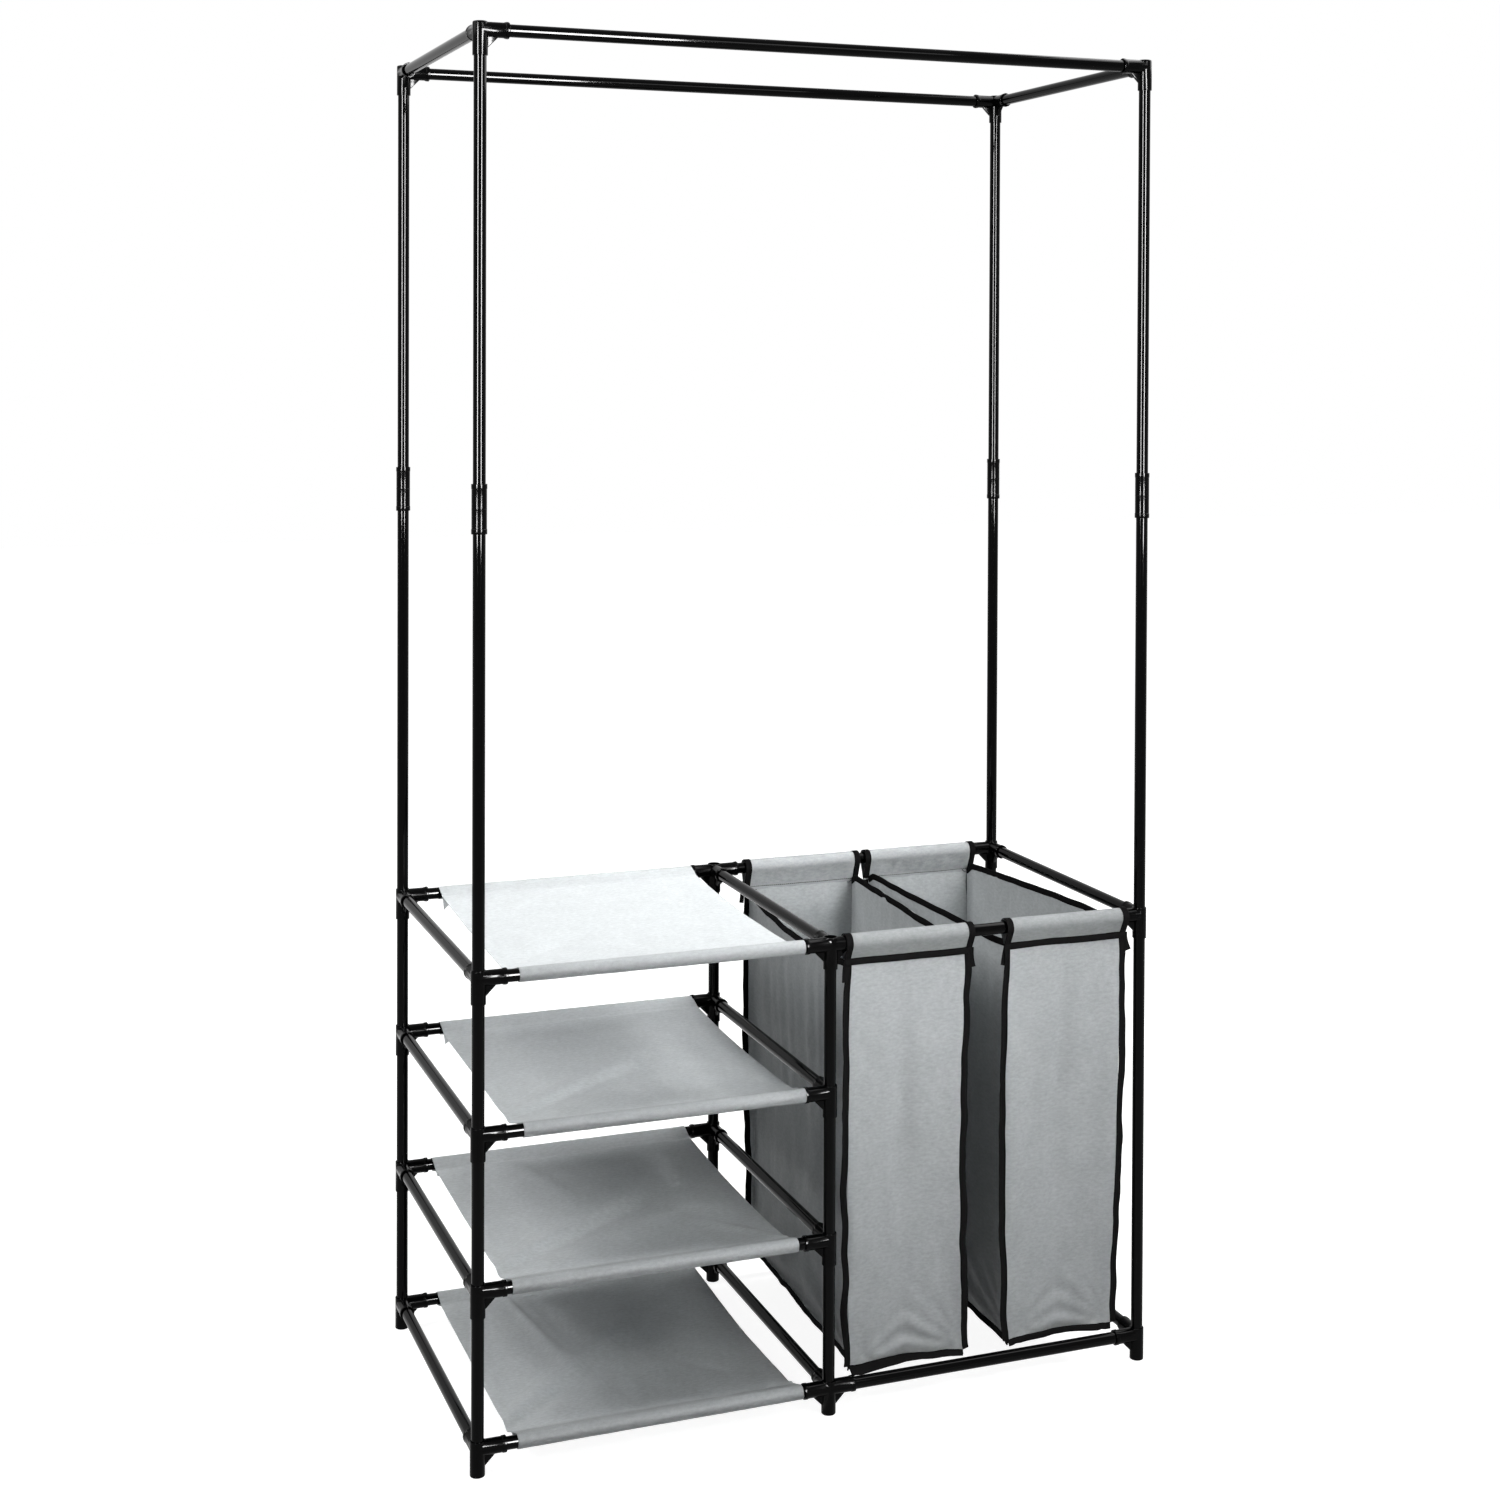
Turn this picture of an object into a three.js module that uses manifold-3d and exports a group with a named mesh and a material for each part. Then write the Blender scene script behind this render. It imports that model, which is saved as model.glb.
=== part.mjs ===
// Open frame wardrobe: black steel tubes pushed into moulded connectors, with four cloth
// shelves in the left bay, hanging space above, and two laundry bags in the right bay.
// Millimetres, +Z up, +X to the right and +Y to the rear as seen from the front.
// The origin is on the floor, in the middle of the frame.

import * as THREE from "three";
import { mergeVertices } from "three/addons/utils/BufferGeometryUtils.js";
import Module from "manifold-3d";

// Frame, measured between tube axes. The right bay takes what the left bay leaves of the width.
const frameWidth = 936;
const leftBay = 472;
const depth = 450;
const baseHeight = 34;
const shelfPitch = 195;
const frameHeight = 1790;
const sleeveHeight = 1200;

// Tubes
const tubeDiameter = 16;
const tubeWall = 0.6;

// Connectors
const fitGap = 0.3;
const socketWall = 1.3;
const plugDepth = 20;
const sideReach = 36;
const downReach = 32;
const topRise = 10;
const cornerRounding = 2.5;
const footRounding = 1.5;
const mouthCollarHeight = 0.7;
const mouthCollarWidth = 5;
const gussetLeg = 12.5;
const gussetThickness = 5;
const sleeveLength = 62;
const sleeveRingHeight = 0.4;
const sleeveRingWidth = 6;
const openTopDepth = 16;

// Shelf cloths
const shelfCloth = 0.8;
const hemDepth = 26;
const bareTube = 16;
const clothEndGap = 1;
const shelfSag = 4;
const shelfEdgeDraw = 5;

// Laundry bags. The insets run from the nearest post axis to the end of a sleeve, and differ
// at the front and rear because the bags are pushed along their rails by hand.
const bagCloth = 1.2;
const leftBagFrontInset = 19.5;
const leftBagRearInset = 48;
const rightBagFrontInset = 23;
const rightBagRearInset = 34;
const bagRearGap = 10;
const bagFloorGap = 9;
const frontSleeveDrop = 24;
const rearSleeveDrop = 30;
const sideTopRise = 4;
const sideTopSag = 4;

// Overrun of every cut past the face that it opens
const overrun = 2;

// Facets of round pieces and of curved edges
const tubeSides = 10;
const loopSteps = 12;
const curveSteps = 6;

// Worked out from the sizes above
const shelfCount = 4;
const tubeRadius = tubeDiameter / 2;
const boreRadius = tubeRadius + fitGap;
const armRadius = boreRadius + socketWall;
const collarRadius = armRadius + mouthCollarHeight;
const bagBoreRadius = collarRadius + fitGap;
const rightBay = frameWidth - leftBay;
const shelfHeights = Array.from({ length: shelfCount }, (_, i) => baseHeight + i * shelfPitch);
const bagHeight = shelfHeights[shelfCount - 1];
const columnX = { left: -frameWidth / 2, middle: leftBay - frameWidth / 2, right: frameWidth / 2 };
const rowY = { front: -depth / 2, rear: depth / 2 };

const plasticBlack = new THREE.MeshStandardMaterial({ color: 0x0c0c0d, roughness: 0.35, metalness: 0 });
const steelBlack = new THREE.MeshStandardMaterial({ color: 0x08080a, roughness: 0.18, metalness: 0.4 });
const shelfGrey = new THREE.MeshStandardMaterial({ color: 0xbfc5c6, roughness: 0.95, metalness: 0 });
const bagGrey = new THREE.MeshStandardMaterial({ color: 0xb2b9b9, roughness: 0.95, metalness: 0 });

const wasm = await Module();
wasm.setup();

// A closed geometry as a solid that can be joined and cut
function solid(geometry) {
  geometry.deleteAttribute("normal");
  geometry.deleteAttribute("uv");
  const merged = mergeVertices(geometry);
  const corners = merged.index.array;
  const faces = [];
  for (let i = 0; i < corners.length; i += 3) {
    const [a, b, c] = [corners[i], corners[i + 1], corners[i + 2]];
    if (a !== b && b !== c && c !== a) {
      faces.push(a, b, c);
    }
  }
  return new wasm.Manifold(new wasm.Mesh({
    numProp: 3,
    vertProperties: merged.attributes.position.array,
    triVerts: new Uint32Array(faces),
  }));
}

// A solid as a geometry with flat facets
function geometryOf(manifold) {
  const mesh = manifold.getMesh();
  const geometry = new THREE.BufferGeometry();
  geometry.setAttribute("position", new THREE.BufferAttribute(mesh.vertProperties, 3));
  geometry.setIndex(new THREE.BufferAttribute(mesh.triVerts, 1));
  const flat = geometry.toNonIndexed();
  flat.computeVertexNormals();
  return flat;
}

// A profile of [radius, height] points turned about the Z axis
function turned(profile) {
  const points = profile.map(([radius, height]) => new THREE.Vector2(radius, height));
  return new THREE.LatheGeometry(points, tubeSides).rotateX(Math.PI / 2);
}

// Lays a geometry made along Z level, pointing in the given direction
function laid(geometry, direction) {
  return geometry.rotateY(Math.PI / 2).rotateZ(direction);
}

// A tube along Z, open at both ends
function tube(from, to) {
  const inner = tubeRadius - tubeWall;
  return turned([[inner, from], [tubeRadius, from], [tubeRadius, to], [inner, to], [inner, from]]);
}

// The hole that a tube plugs into, cut downwards from a mouth at the given height
function socket(mouth, floor) {
  return turned([[0, floor], [boreRadius, floor], [boreRadius, mouth + overrun], [0, mouth + overrun]]);
}

// The moulded body that stands on the post axis, with its outer edges rounded off
function connectorBody(bottom, bottomRounding, topRounding) {
  return turned([
    [0, bottom],
    [armRadius - bottomRounding, bottom],
    [armRadius, bottom + bottomRounding],
    [armRadius, topRise - topRounding],
    [armRadius - topRounding, topRise],
    [0, topRise],
  ]);
}

// A side arm along Z with a raised collar round its mouth
function sideArm() {
  return turned([
    [0, 0],
    [armRadius, 0],
    [armRadius, sideReach - mouthCollarWidth],
    [collarRadius, sideReach - mouthCollarWidth],
    [collarRadius, sideReach],
    [0, sideReach],
  ]);
}

// The web that braces a side arm against the body below it
function gusset(direction) {
  const outline = new THREE.Shape();
  outline.moveTo(0, 0);
  outline.lineTo(0, -armRadius - gussetLeg);
  outline.lineTo(armRadius, -armRadius - gussetLeg);
  outline.lineTo(armRadius + gussetLeg, -armRadius);
  outline.lineTo(armRadius + gussetLeg, 0);
  const web = new THREE.ExtrudeGeometry(outline, { depth: gussetThickness, bevelEnabled: false });
  web.translate(0, 0, -gussetThickness / 2).rotateX(Math.PI / 2);
  return web.rotateZ(direction);
}

// A connector round the crossing of a post and its rails, with an arm in each direction given.
// It has a foot or a socket below, and a standing tube, a closed top or a hole above.
function connector({ arms, foot = false, tubeEnd = 0, openTop = false }) {
  const bottom = foot ? -baseHeight : -downReach;
  const closedTop = !tubeEnd && !openTop;
  let body = solid(connectorBody(bottom, foot ? footRounding : 0, closedTop ? cornerRounding : 0));
  for (const direction of arms) {
    body = body.add(solid(laid(sideArm(), direction)));
    body = body.add(solid(gusset(direction)));
  }
  for (const direction of arms) {
    body = body.subtract(solid(laid(socket(sideReach, sideReach - plugDepth), direction)));
  }
  if (!foot) {
    const below = turned([
      [0, bottom - overrun],
      [boreRadius, bottom - overrun],
      [boreRadius, bottom + plugDepth],
      [0, bottom + plugDepth],
    ]);
    body = body.subtract(solid(below));
  }
  if (openTop) {
    body = body.subtract(solid(socket(topRise, topRise - openTopDepth)));
  }
  if (tubeEnd) {
    body = body.add(solid(tube(topRise - openTopDepth, tubeEnd)));
  }
  return geometryOf(body);
}

// A straight sleeve that joins two post tubes: a socket below and a standing tube above
function straightSleeve(tubeEnd) {
  const half = sleeveLength / 2;
  const ringRadius = armRadius + sleeveRingHeight;
  const shell = turned([
    [0, -half],
    [ringRadius, -half],
    [ringRadius, -half + sleeveRingWidth],
    [armRadius, -half + sleeveRingWidth],
    [armRadius, half - sleeveRingWidth],
    [ringRadius, half - sleeveRingWidth],
    [ringRadius, half],
    [0, half],
  ]);
  const below = turned([
    [0, -half - overrun],
    [boreRadius, -half - overrun],
    [boreRadius, -half + plugDepth],
    [0, -half + plugDepth],
  ]);
  const sleeve = solid(shell).subtract(solid(below)).add(solid(tube(half - plugDepth, tubeEnd)));
  return geometryOf(sleeve);
}

// A level rail between two posts, plugged into the side arms at both ends
function rail(span, direction) {
  const end = sideReach - plugDepth + fitGap;
  return laid(tube(end, span - end), direction);
}

// The outline of cloth that loops round a rail and closes in a seam at a distance from its
// axis, with the rail at the origin and the seam along +X, as [loop path, bore path]
function loopPaths(bore, cloth, seam) {
  const outer = bore + cloth;
  const boreSeam = (seam * bore) / outer;
  const turn = Math.acos(outer / seam);
  const arc = (radius) => Array.from({ length: loopSteps + 1 }, (_, i) => {
    const angle = turn + (i * (2 * Math.PI - 2 * turn)) / loopSteps;
    return new THREE.Vector2(radius * Math.cos(angle), radius * Math.sin(angle));
  });
  return [arc(outer), [...arc(bore), new THREE.Vector2(boreSeam, 0)]];
}

// A shelf cloth: a hem round each rail and a sheet between them that sags a little, drawn as
// a section across the depth and extruded along the rails
function shelfClothGeometry(width) {
  const [frontLoop, frontBore] = loopPaths(boreRadius, shelfCloth, hemDepth);
  const mirrored = (point) => new THREE.Vector2(depth - point.x, point.y);
  const half = shelfCloth / 2;
  const sheetLength = depth - 2 * hemDepth;
  const sheet = (offset) => Array.from({ length: curveSteps + 1 }, (_, i) => {
    const share = i / curveSteps;
    const sag = shelfSag * 4 * share * (1 - share);
    return new THREE.Vector2(hemDepth + share * sheetLength, offset - sag);
  });
  const outline = new THREE.Shape([
    ...frontLoop,
    ...sheet(-half),
    ...frontLoop.map(mirrored).reverse(),
    ...sheet(half).reverse(),
  ]);
  outline.holes.push(new THREE.Path(frontBore));
  outline.holes.push(new THREE.Path(frontBore.map(mirrored).reverse()));
  const left = solid(edgeCut());
  const right = solid(edgeCut().rotateZ(Math.PI).translate(width, depth, 0));
  return geometryOf(solid(acrossDepth(outline, width)).subtract(left).subtract(right));
}

// The sliver that a shelf's free side edge is drawn in by, between its two hems
function edgeCut() {
  const outline = new THREE.Shape();
  const freeLength = depth - 2 * hemDepth;
  outline.moveTo(-overrun, hemDepth);
  for (let i = 0; i <= curveSteps; i += 1) {
    const share = i / curveSteps;
    outline.lineTo(shelfEdgeDraw * 4 * share * (1 - share), hemDepth + share * freeLength);
  }
  outline.lineTo(-overrun, depth - hemDepth);
  const height = shelfSag + 2 * (shelfCloth + overrun);
  const cut = new THREE.ExtrudeGeometry(outline, { depth: height, bevelEnabled: false });
  return cut.translate(0, 0, -shelfSag - shelfCloth - overrun);
}

// Extrudes a section along +X, with the section's X to the rear and its Y up
function acrossDepth(outline, width) {
  const block = new THREE.ExtrudeGeometry(outline, { depth: width, bevelEnabled: false });
  return block.rotateX(Math.PI / 2).rotateZ(Math.PI / 2);
}

// How steeply a bag sleeve's cloth runs in below its rail to the seam at the given drop
function sleeveSlope(drop) {
  return Math.tan(Math.acos((bagBoreRadius + bagCloth) / drop));
}

// The cloth that runs the whole width of a bag: a sleeve round the front rail at the origin,
// the front panel, the bottom, the rear panel and a sleeve round the rear rail
function bagSection(bottom) {
  const half = bagCloth / 2;
  const [frontLoop, frontBore] = loopPaths(bagBoreRadius, bagCloth, frontSleeveDrop);
  const [rearLoop, rearBore] = loopPaths(bagBoreRadius, bagCloth, rearSleeveDrop);
  const atFront = (point) => new THREE.Vector2(point.y, -point.x);
  const atRear = (point) => new THREE.Vector2(depth - point.y, -point.x);
  const frontSeam = half * sleeveSlope(frontSleeveDrop) - frontSleeveDrop;
  const rearSeam = half * sleeveSlope(rearSleeveDrop) - rearSleeveDrop;
  const outline = new THREE.Shape([
    new THREE.Vector2(half, frontSeam),
    ...frontLoop.map(atFront),
    new THREE.Vector2(-half, frontSeam),
    new THREE.Vector2(-half, bottom),
    new THREE.Vector2(depth + half, bottom),
    new THREE.Vector2(depth + half, rearSeam),
    ...rearLoop.map(atRear).reverse(),
    new THREE.Vector2(depth - half, rearSeam),
    new THREE.Vector2(depth - half, bottom + bagCloth),
    new THREE.Vector2(half, bottom + bagCloth),
  ]);
  outline.holes.push(new THREE.Path(frontBore.map(atFront)));
  outline.holes.push(new THREE.Path(rearBore.map(atRear)));
  return outline;
}

// A bag's side panel. Its edges end in the middle of the cloth that they are sewn to.
function bagSidePanel(bottom) {
  const middleShare = (bagBoreRadius + bagCloth / 2) / (bagBoreRadius + bagCloth);
  const top = sideTopRise - frontSleeveDrop;
  const frontSeam = -frontSleeveDrop * middleShare;
  const rearSeam = -rearSleeveDrop * middleShare;
  const frontEnd = (top - frontSeam) / sleeveSlope(frontSleeveDrop);
  const rearEnd = depth - (top - rearSeam) / sleeveSlope(rearSleeveDrop);
  const outline = new THREE.Shape();
  outline.moveTo(0, bottom + bagCloth / 2);
  outline.lineTo(depth, bottom + bagCloth / 2);
  outline.lineTo(depth, rearSeam);
  for (let i = 0; i <= curveSteps; i += 1) {
    const share = i / curveSteps;
    const sag = sideTopSag * 4 * share * (1 - share);
    outline.lineTo(rearEnd + share * (frontEnd - rearEnd), top - sag);
  }
  outline.lineTo(0, frontSeam);
  return outline;
}

// A laundry bag with its front rail at the origin: an open box of cloth hung by a sleeve at the
// front and one at the rear. The rear end lies to the right of the front end by the skew.
function bag(width, bottom, skew) {
  const nearSide = solid(acrossDepth(bagSidePanel(bottom), bagCloth));
  const farSide = nearSide.translate([width - bagCloth, 0, 0]);
  const straight = solid(acrossDepth(bagSection(bottom), width)).add(nearSide).add(farSide);
  const shear = new THREE.Matrix4().makeShear(0, 0, skew / depth, 0, 0, 0);
  return geometryOf(straight).applyMatrix4(shear);
}

const wardrobe = new THREE.Group();

function place(name, geometry, material, x, y, z) {
  const mesh = new THREE.Mesh(geometry, material);
  mesh.name = name;
  mesh.position.set(x, y, z);
  wardrobe.add(mesh);
}

// One post from the floor up. Each stop is a connector or a sleeve, and carries the tube that
// stands in it, up to the socket of the next stop.
function placePost(row, column, stops) {
  stops.forEach((stop, i) => {
    const next = stops[i + 1];
    const nextReach = next && next.sleeve ? sleeveLength / 2 : downReach;
    const tubeEnd = next ? next.height - nextReach + plugDepth - fitGap - stop.height : 0;
    const geometry = stop.sleeve ? straightSleeve(tubeEnd) : connector({ ...stop, tubeEnd });
    const name = `${row}_${column}_${stop.label}${next ? "_with_tube" : ""}`;
    place(name, geometry, plasticBlack, columnX[column], rowY[row], stop.height);
  });
}

// A level rail from a post towards the right or the rear
function placeRail(name, column, row, height, span, direction) {
  place(name, rail(span, direction), steelBlack, columnX[column], rowY[row], height);
}

const right = 0;
const rearward = Math.PI / 2;
const left = Math.PI;
const forward = -Math.PI / 2;
const [foot, shelf2, shelf3, shelf4] = shelfHeights;

for (const [row, inward] of [["front", rearward], ["rear", forward]]) {
  placePost(row, "left", [
    { label: "foot", height: foot, arms: [right, inward], foot: true },
    { label: "shelf_2_connector", height: shelf2, arms: [right, inward] },
    { label: "shelf_3_connector", height: shelf3, arms: [right, inward] },
    { label: "shelf_4_connector", height: shelf4, arms: [right, inward] },
    { label: "sleeve", height: sleeveHeight, sleeve: true },
    { label: "top_corner", height: frameHeight, arms: [right, inward] },
  ]);
  placePost(row, "middle", [
    { label: "foot", height: foot, arms: [left, right, inward], foot: true },
    { label: "shelf_2_connector", height: shelf2, arms: [left, inward] },
    { label: "shelf_3_connector", height: shelf3, arms: [left, inward] },
    { label: "top_connector", height: shelf4, arms: [left, right, inward], openTop: true },
  ]);
  placePost(row, "right", [
    { label: "foot", height: foot, arms: [left, inward], foot: true },
    { label: "bag_connector", height: bagHeight, arms: [left, inward] },
    { label: "sleeve", height: sleeveHeight, sleeve: true },
    { label: "top_corner", height: frameHeight, arms: [left, inward] },
  ]);
  shelfHeights.forEach((height, i) => {
    placeRail(`${row}_shelf_${i + 1}_rail`, "left", row, height, leftBay, right);
  });
  placeRail(`${row}_base_rail`, "middle", row, baseHeight, rightBay, right);
  placeRail(`${row}_bag_rail`, "middle", row, bagHeight, rightBay, right);
  placeRail(`${row}_top_rail`, "left", row, frameHeight, frameWidth, right);
}

shelfHeights.forEach((height, i) => {
  placeRail(`left_side_rail_${i + 1}`, "left", "front", height, depth, rearward);
  placeRail(`middle_side_rail_${i + 1}`, "middle", "front", height, depth, rearward);
});
placeRail("left_top_side_rail", "left", "front", frameHeight, depth, rearward);
placeRail("right_base_side_rail", "right", "front", baseHeight, depth, rearward);
placeRail("right_bag_side_rail", "right", "front", bagHeight, depth, rearward);
placeRail("right_top_side_rail", "right", "front", frameHeight, depth, rearward);

const clothStart = sideReach + bareTube;
const clothWidth = leftBay - clothStart - sideReach - clothEndGap;
shelfHeights.forEach((height, i) => {
  const geometry = shelfClothGeometry(clothWidth);
  place(`shelf_${i + 1}_cloth`, geometry, shelfGrey, columnX.left + clothStart, rowY.front, height);
});

const bagWidth = (rightBay - leftBagRearInset - rightBagRearInset - bagRearGap) / 2;
const bagBottom = baseHeight + tubeRadius + bagFloorGap - bagHeight;
const leftBagX = columnX.middle + leftBagFrontInset;
const rightBagX = columnX.right - rightBagFrontInset - bagWidth;
const leftBag = bag(bagWidth, bagBottom, leftBagRearInset - leftBagFrontInset);
const rightBag = bag(bagWidth, bagBottom, rightBagFrontInset - rightBagRearInset);
place("left_laundry_bag", leftBag, bagGrey, leftBagX, rowY.front, bagHeight);
place("right_laundry_bag", rightBag, bagGrey, rightBagX, rowY.front, bagHeight);

export default wardrobe;
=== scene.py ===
"""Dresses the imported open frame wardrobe: black tubes, moulded connectors, cloth shelves and laundry bags."""

import math

import bmesh
import bpy
from bpy.props import FloatProperty, FloatVectorProperty, IntProperty, PointerProperty
from mathutils import Matrix, Vector, noise


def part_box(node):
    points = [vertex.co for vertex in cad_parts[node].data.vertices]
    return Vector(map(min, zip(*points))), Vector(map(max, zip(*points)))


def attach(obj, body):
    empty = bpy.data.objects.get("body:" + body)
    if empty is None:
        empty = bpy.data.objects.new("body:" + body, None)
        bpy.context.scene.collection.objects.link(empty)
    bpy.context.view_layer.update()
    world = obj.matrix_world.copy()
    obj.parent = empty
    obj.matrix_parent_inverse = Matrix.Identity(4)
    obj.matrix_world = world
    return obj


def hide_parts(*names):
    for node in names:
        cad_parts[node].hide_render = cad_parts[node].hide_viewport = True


bl_info = {
    "name": "Open Frame Wardrobe",
    "version": (1, 0, 0),
    "blender": (4, 5, 0),
    "location": "3D View > Sidebar > Wardrobe",
    "description": "Builds the tubes, connectors, cloth shelves and laundry bags of an open frame wardrobe",
    "category": "Object",
}

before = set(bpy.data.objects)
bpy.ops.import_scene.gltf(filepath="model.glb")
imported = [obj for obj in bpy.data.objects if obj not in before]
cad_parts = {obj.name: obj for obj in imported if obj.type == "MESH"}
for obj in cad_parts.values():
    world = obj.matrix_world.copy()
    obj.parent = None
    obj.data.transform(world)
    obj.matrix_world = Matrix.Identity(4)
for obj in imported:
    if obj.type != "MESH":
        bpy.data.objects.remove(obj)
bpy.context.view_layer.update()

MM = 0.001
FRAME_BODY = "frame"


# Places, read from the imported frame


def middle(node, axis):
    """The middle of a node's box along one axis."""
    low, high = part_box(node)
    return (low[axis] + high[axis]) / 2


COLUMNS = {
    "left": middle("left_side_rail_1", 0),
    "middle": middle("middle_side_rail_1", 0),
    "right": middle("right_base_side_rail", 0),
}
ROWS = {"front": middle("front_base_rail", 1), "rear": middle("rear_base_rail", 1)}
SHELF_LEVELS = [middle(f"front_shelf_{i}_rail", 2) for i in (1, 2, 3, 4)]
BASE_LEVEL = SHELF_LEVELS[0]
BAG_LEVEL = SHELF_LEVELS[-1]
TOP_LEVEL = middle("front_top_rail", 2)
BACK_TO_FRONT = ROWS["rear"] - ROWS["front"]


# Sizes and colours that a user may change


def length(name, about, default):
    """A length property in metres."""
    return FloatProperty(name=name, description=about, default=default, min=0.0, unit="LENGTH")


def colour(name, about, default):
    """A linear colour property."""
    return FloatVectorProperty(
        name=name, description=about, default=default, size=3, min=0.0, max=1.0, subtype="COLOR"
    )


class WardrobeTubeSizes(bpy.types.PropertyGroup):
    """Sizes of the steel tubes."""

    diameter: length("Diameter", "Outside diameter of every tube", 16.0 * MM)
    wall: length("Wall", "Wall thickness of every tube", 0.6 * MM)
    sides: IntProperty(name="Sides", description="Facets round a tube", default=56, min=8, max=128)


class WardrobeConnectorSizes(bpy.types.PropertyGroup):
    """Sizes of the moulded connectors and sleeves."""

    arm_radius: length("Arm radius", "Outside radius of the body and the arms", 9.6 * MM)
    bore_radius: length("Bore radius", "Radius of the hole that a tube plugs into", 8.3 * MM)
    collar_height: length("Collar height", "How far a mouth's collar stands out", 0.7 * MM)
    collar_width: length("Collar width", "Width of a mouth's collar", 5.0 * MM)
    side_reach: length("Side reach", "From the post's axis to a side mouth", 36.0 * MM)
    down_reach: length("Down reach", "From a rail's axis to the lower mouth", 32.0 * MM)
    plug_depth: length("Plug depth", "How deep a tube goes into a mouth", 20.0 * MM)
    top_rise: length("Top rise", "From a rail's axis to the top of the body", 10.0 * MM)
    corner_rounding: length("Corner rounding", "Rounding of a closed top", 2.5 * MM)
    foot_rounding: length("Foot rounding", "Rounding under a foot", 1.5 * MM)
    edge_rounding: length("Edge rounding", "Rounding of the small edges", 0.35 * MM)
    gusset_leg: length("Gusset leg", "Length of the web along the arm and the body", 12.5 * MM)
    gusset_thickness: length("Gusset thickness", "Thickness of the web", 5.0 * MM)
    nub_length: length("Nub length", "Length of the lug on a collar", 6.0 * MM)
    nub_width: length("Nub width", "Width of the lug on a collar", 3.0 * MM)
    nub_height: length("Nub height", "How far the lug stands above the collar", 0.25 * MM)
    open_top_depth: length("Open top depth", "Depth of the hole in the middle connectors", 16.0 * MM)
    sleeve_length: length("Sleeve length", "Length of a straight sleeve", 62.0 * MM)
    sleeve_ring_height: length("Sleeve ring height", "How far a sleeve's end ring stands out", 0.4 * MM)
    sleeve_ring_width: length("Sleeve ring width", "Width of a sleeve's end ring", 6.0 * MM)
    sides: IntProperty(name="Sides", description="Facets round an arm", default=48, min=12, max=96)


class WardrobeShelfSizes(bpy.types.PropertyGroup):
    """Sizes of the cloth shelves."""

    thickness: length("Cloth thickness", "Thickness of the non-woven cloth", 0.8 * MM)
    hem_radius: length("Hem radius", "Inside radius of the hem round its rail", 8.3 * MM)
    hem_depth: length("Hem depth", "From a rail's axis to the hem's stitches", 26.0 * MM)
    hem_allowance: length("Hem allowance", "Loose edge below the sheet past the stitches", 9.0 * MM)
    sag: length("Sag", "Sag of the sheet between its hems", 4.0 * MM)
    edge_draw: length("Edge draw", "How far a free side edge is drawn in", 1.5 * MM)
    crease: length("Crease height", "Height of the creases that run from the corners", 7.0 * MM)
    flap_drop: length("Flap drop", "How far the loose hem edge hangs down at the rear left", 15.0 * MM)
    flap_width: length("Flap width", "Width of the part that hangs down", 16.0 * MM)
    stitch: length("Stitch length", "Length of one stitch", 2.6 * MM)
    thread: length("Thread", "Thickness of the sewing thread", 0.45 * MM)


class WardrobeBagSizes(bpy.types.PropertyGroup):
    """Sizes of the laundry bags."""

    thickness: length("Cloth thickness", "Thickness of the non-woven cloth", 0.9 * MM)
    sleeve_radius: length("Sleeve radius", "Inside radius of a sleeve round its rail", 10.6 * MM)
    seam_flange: length("Seam flange", "How far a bound corner seam stands out", 9.0 * MM)
    tape_thickness: length("Tape thickness", "Thickness of one layer of binding tape", 0.7 * MM)
    tape_width: length("Tape width", "Width of the binding tape on one side", 9.0 * MM)
    stitch: length("Stitch length", "Length of one stitch", 3.2 * MM)
    thread: length("Thread", "Thickness of the sewing thread", 0.5 * MM)
    seam_thread: length("Seam thread", "Thickness of the thread below the sleeves", 1.1 * MM)


class WardrobeFinishes(bpy.types.PropertyGroup):
    """Colours of the materials, as linear values."""

    steel: colour("Steel", "Gloss black paint on the tubes", (0.0004, 0.0004, 0.0005))
    plastic: colour("Plastic", "Black moulded connectors", (0.0007, 0.0007, 0.0008))
    cloth: colour("Cloth", "Grey non-woven cloth", (0.585, 0.612, 0.622))
    binding: colour("Binding", "Black binding tape", (0.0014, 0.0013, 0.0014))
    floor: colour("Floor", "Pale studio floor", (0.34, 0.34, 0.34))


# Materials


THREAD_FINISH = {
    "noises": {"twist": (2500.0, 2.0, 0.5)},
    "tint_shares": ("twist", 0.75, 1.25),
    "roughness_shares": ("twist", 0.7, 0.7),
    "bumps": [],
    "specular_share": 0.5,
}
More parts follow.
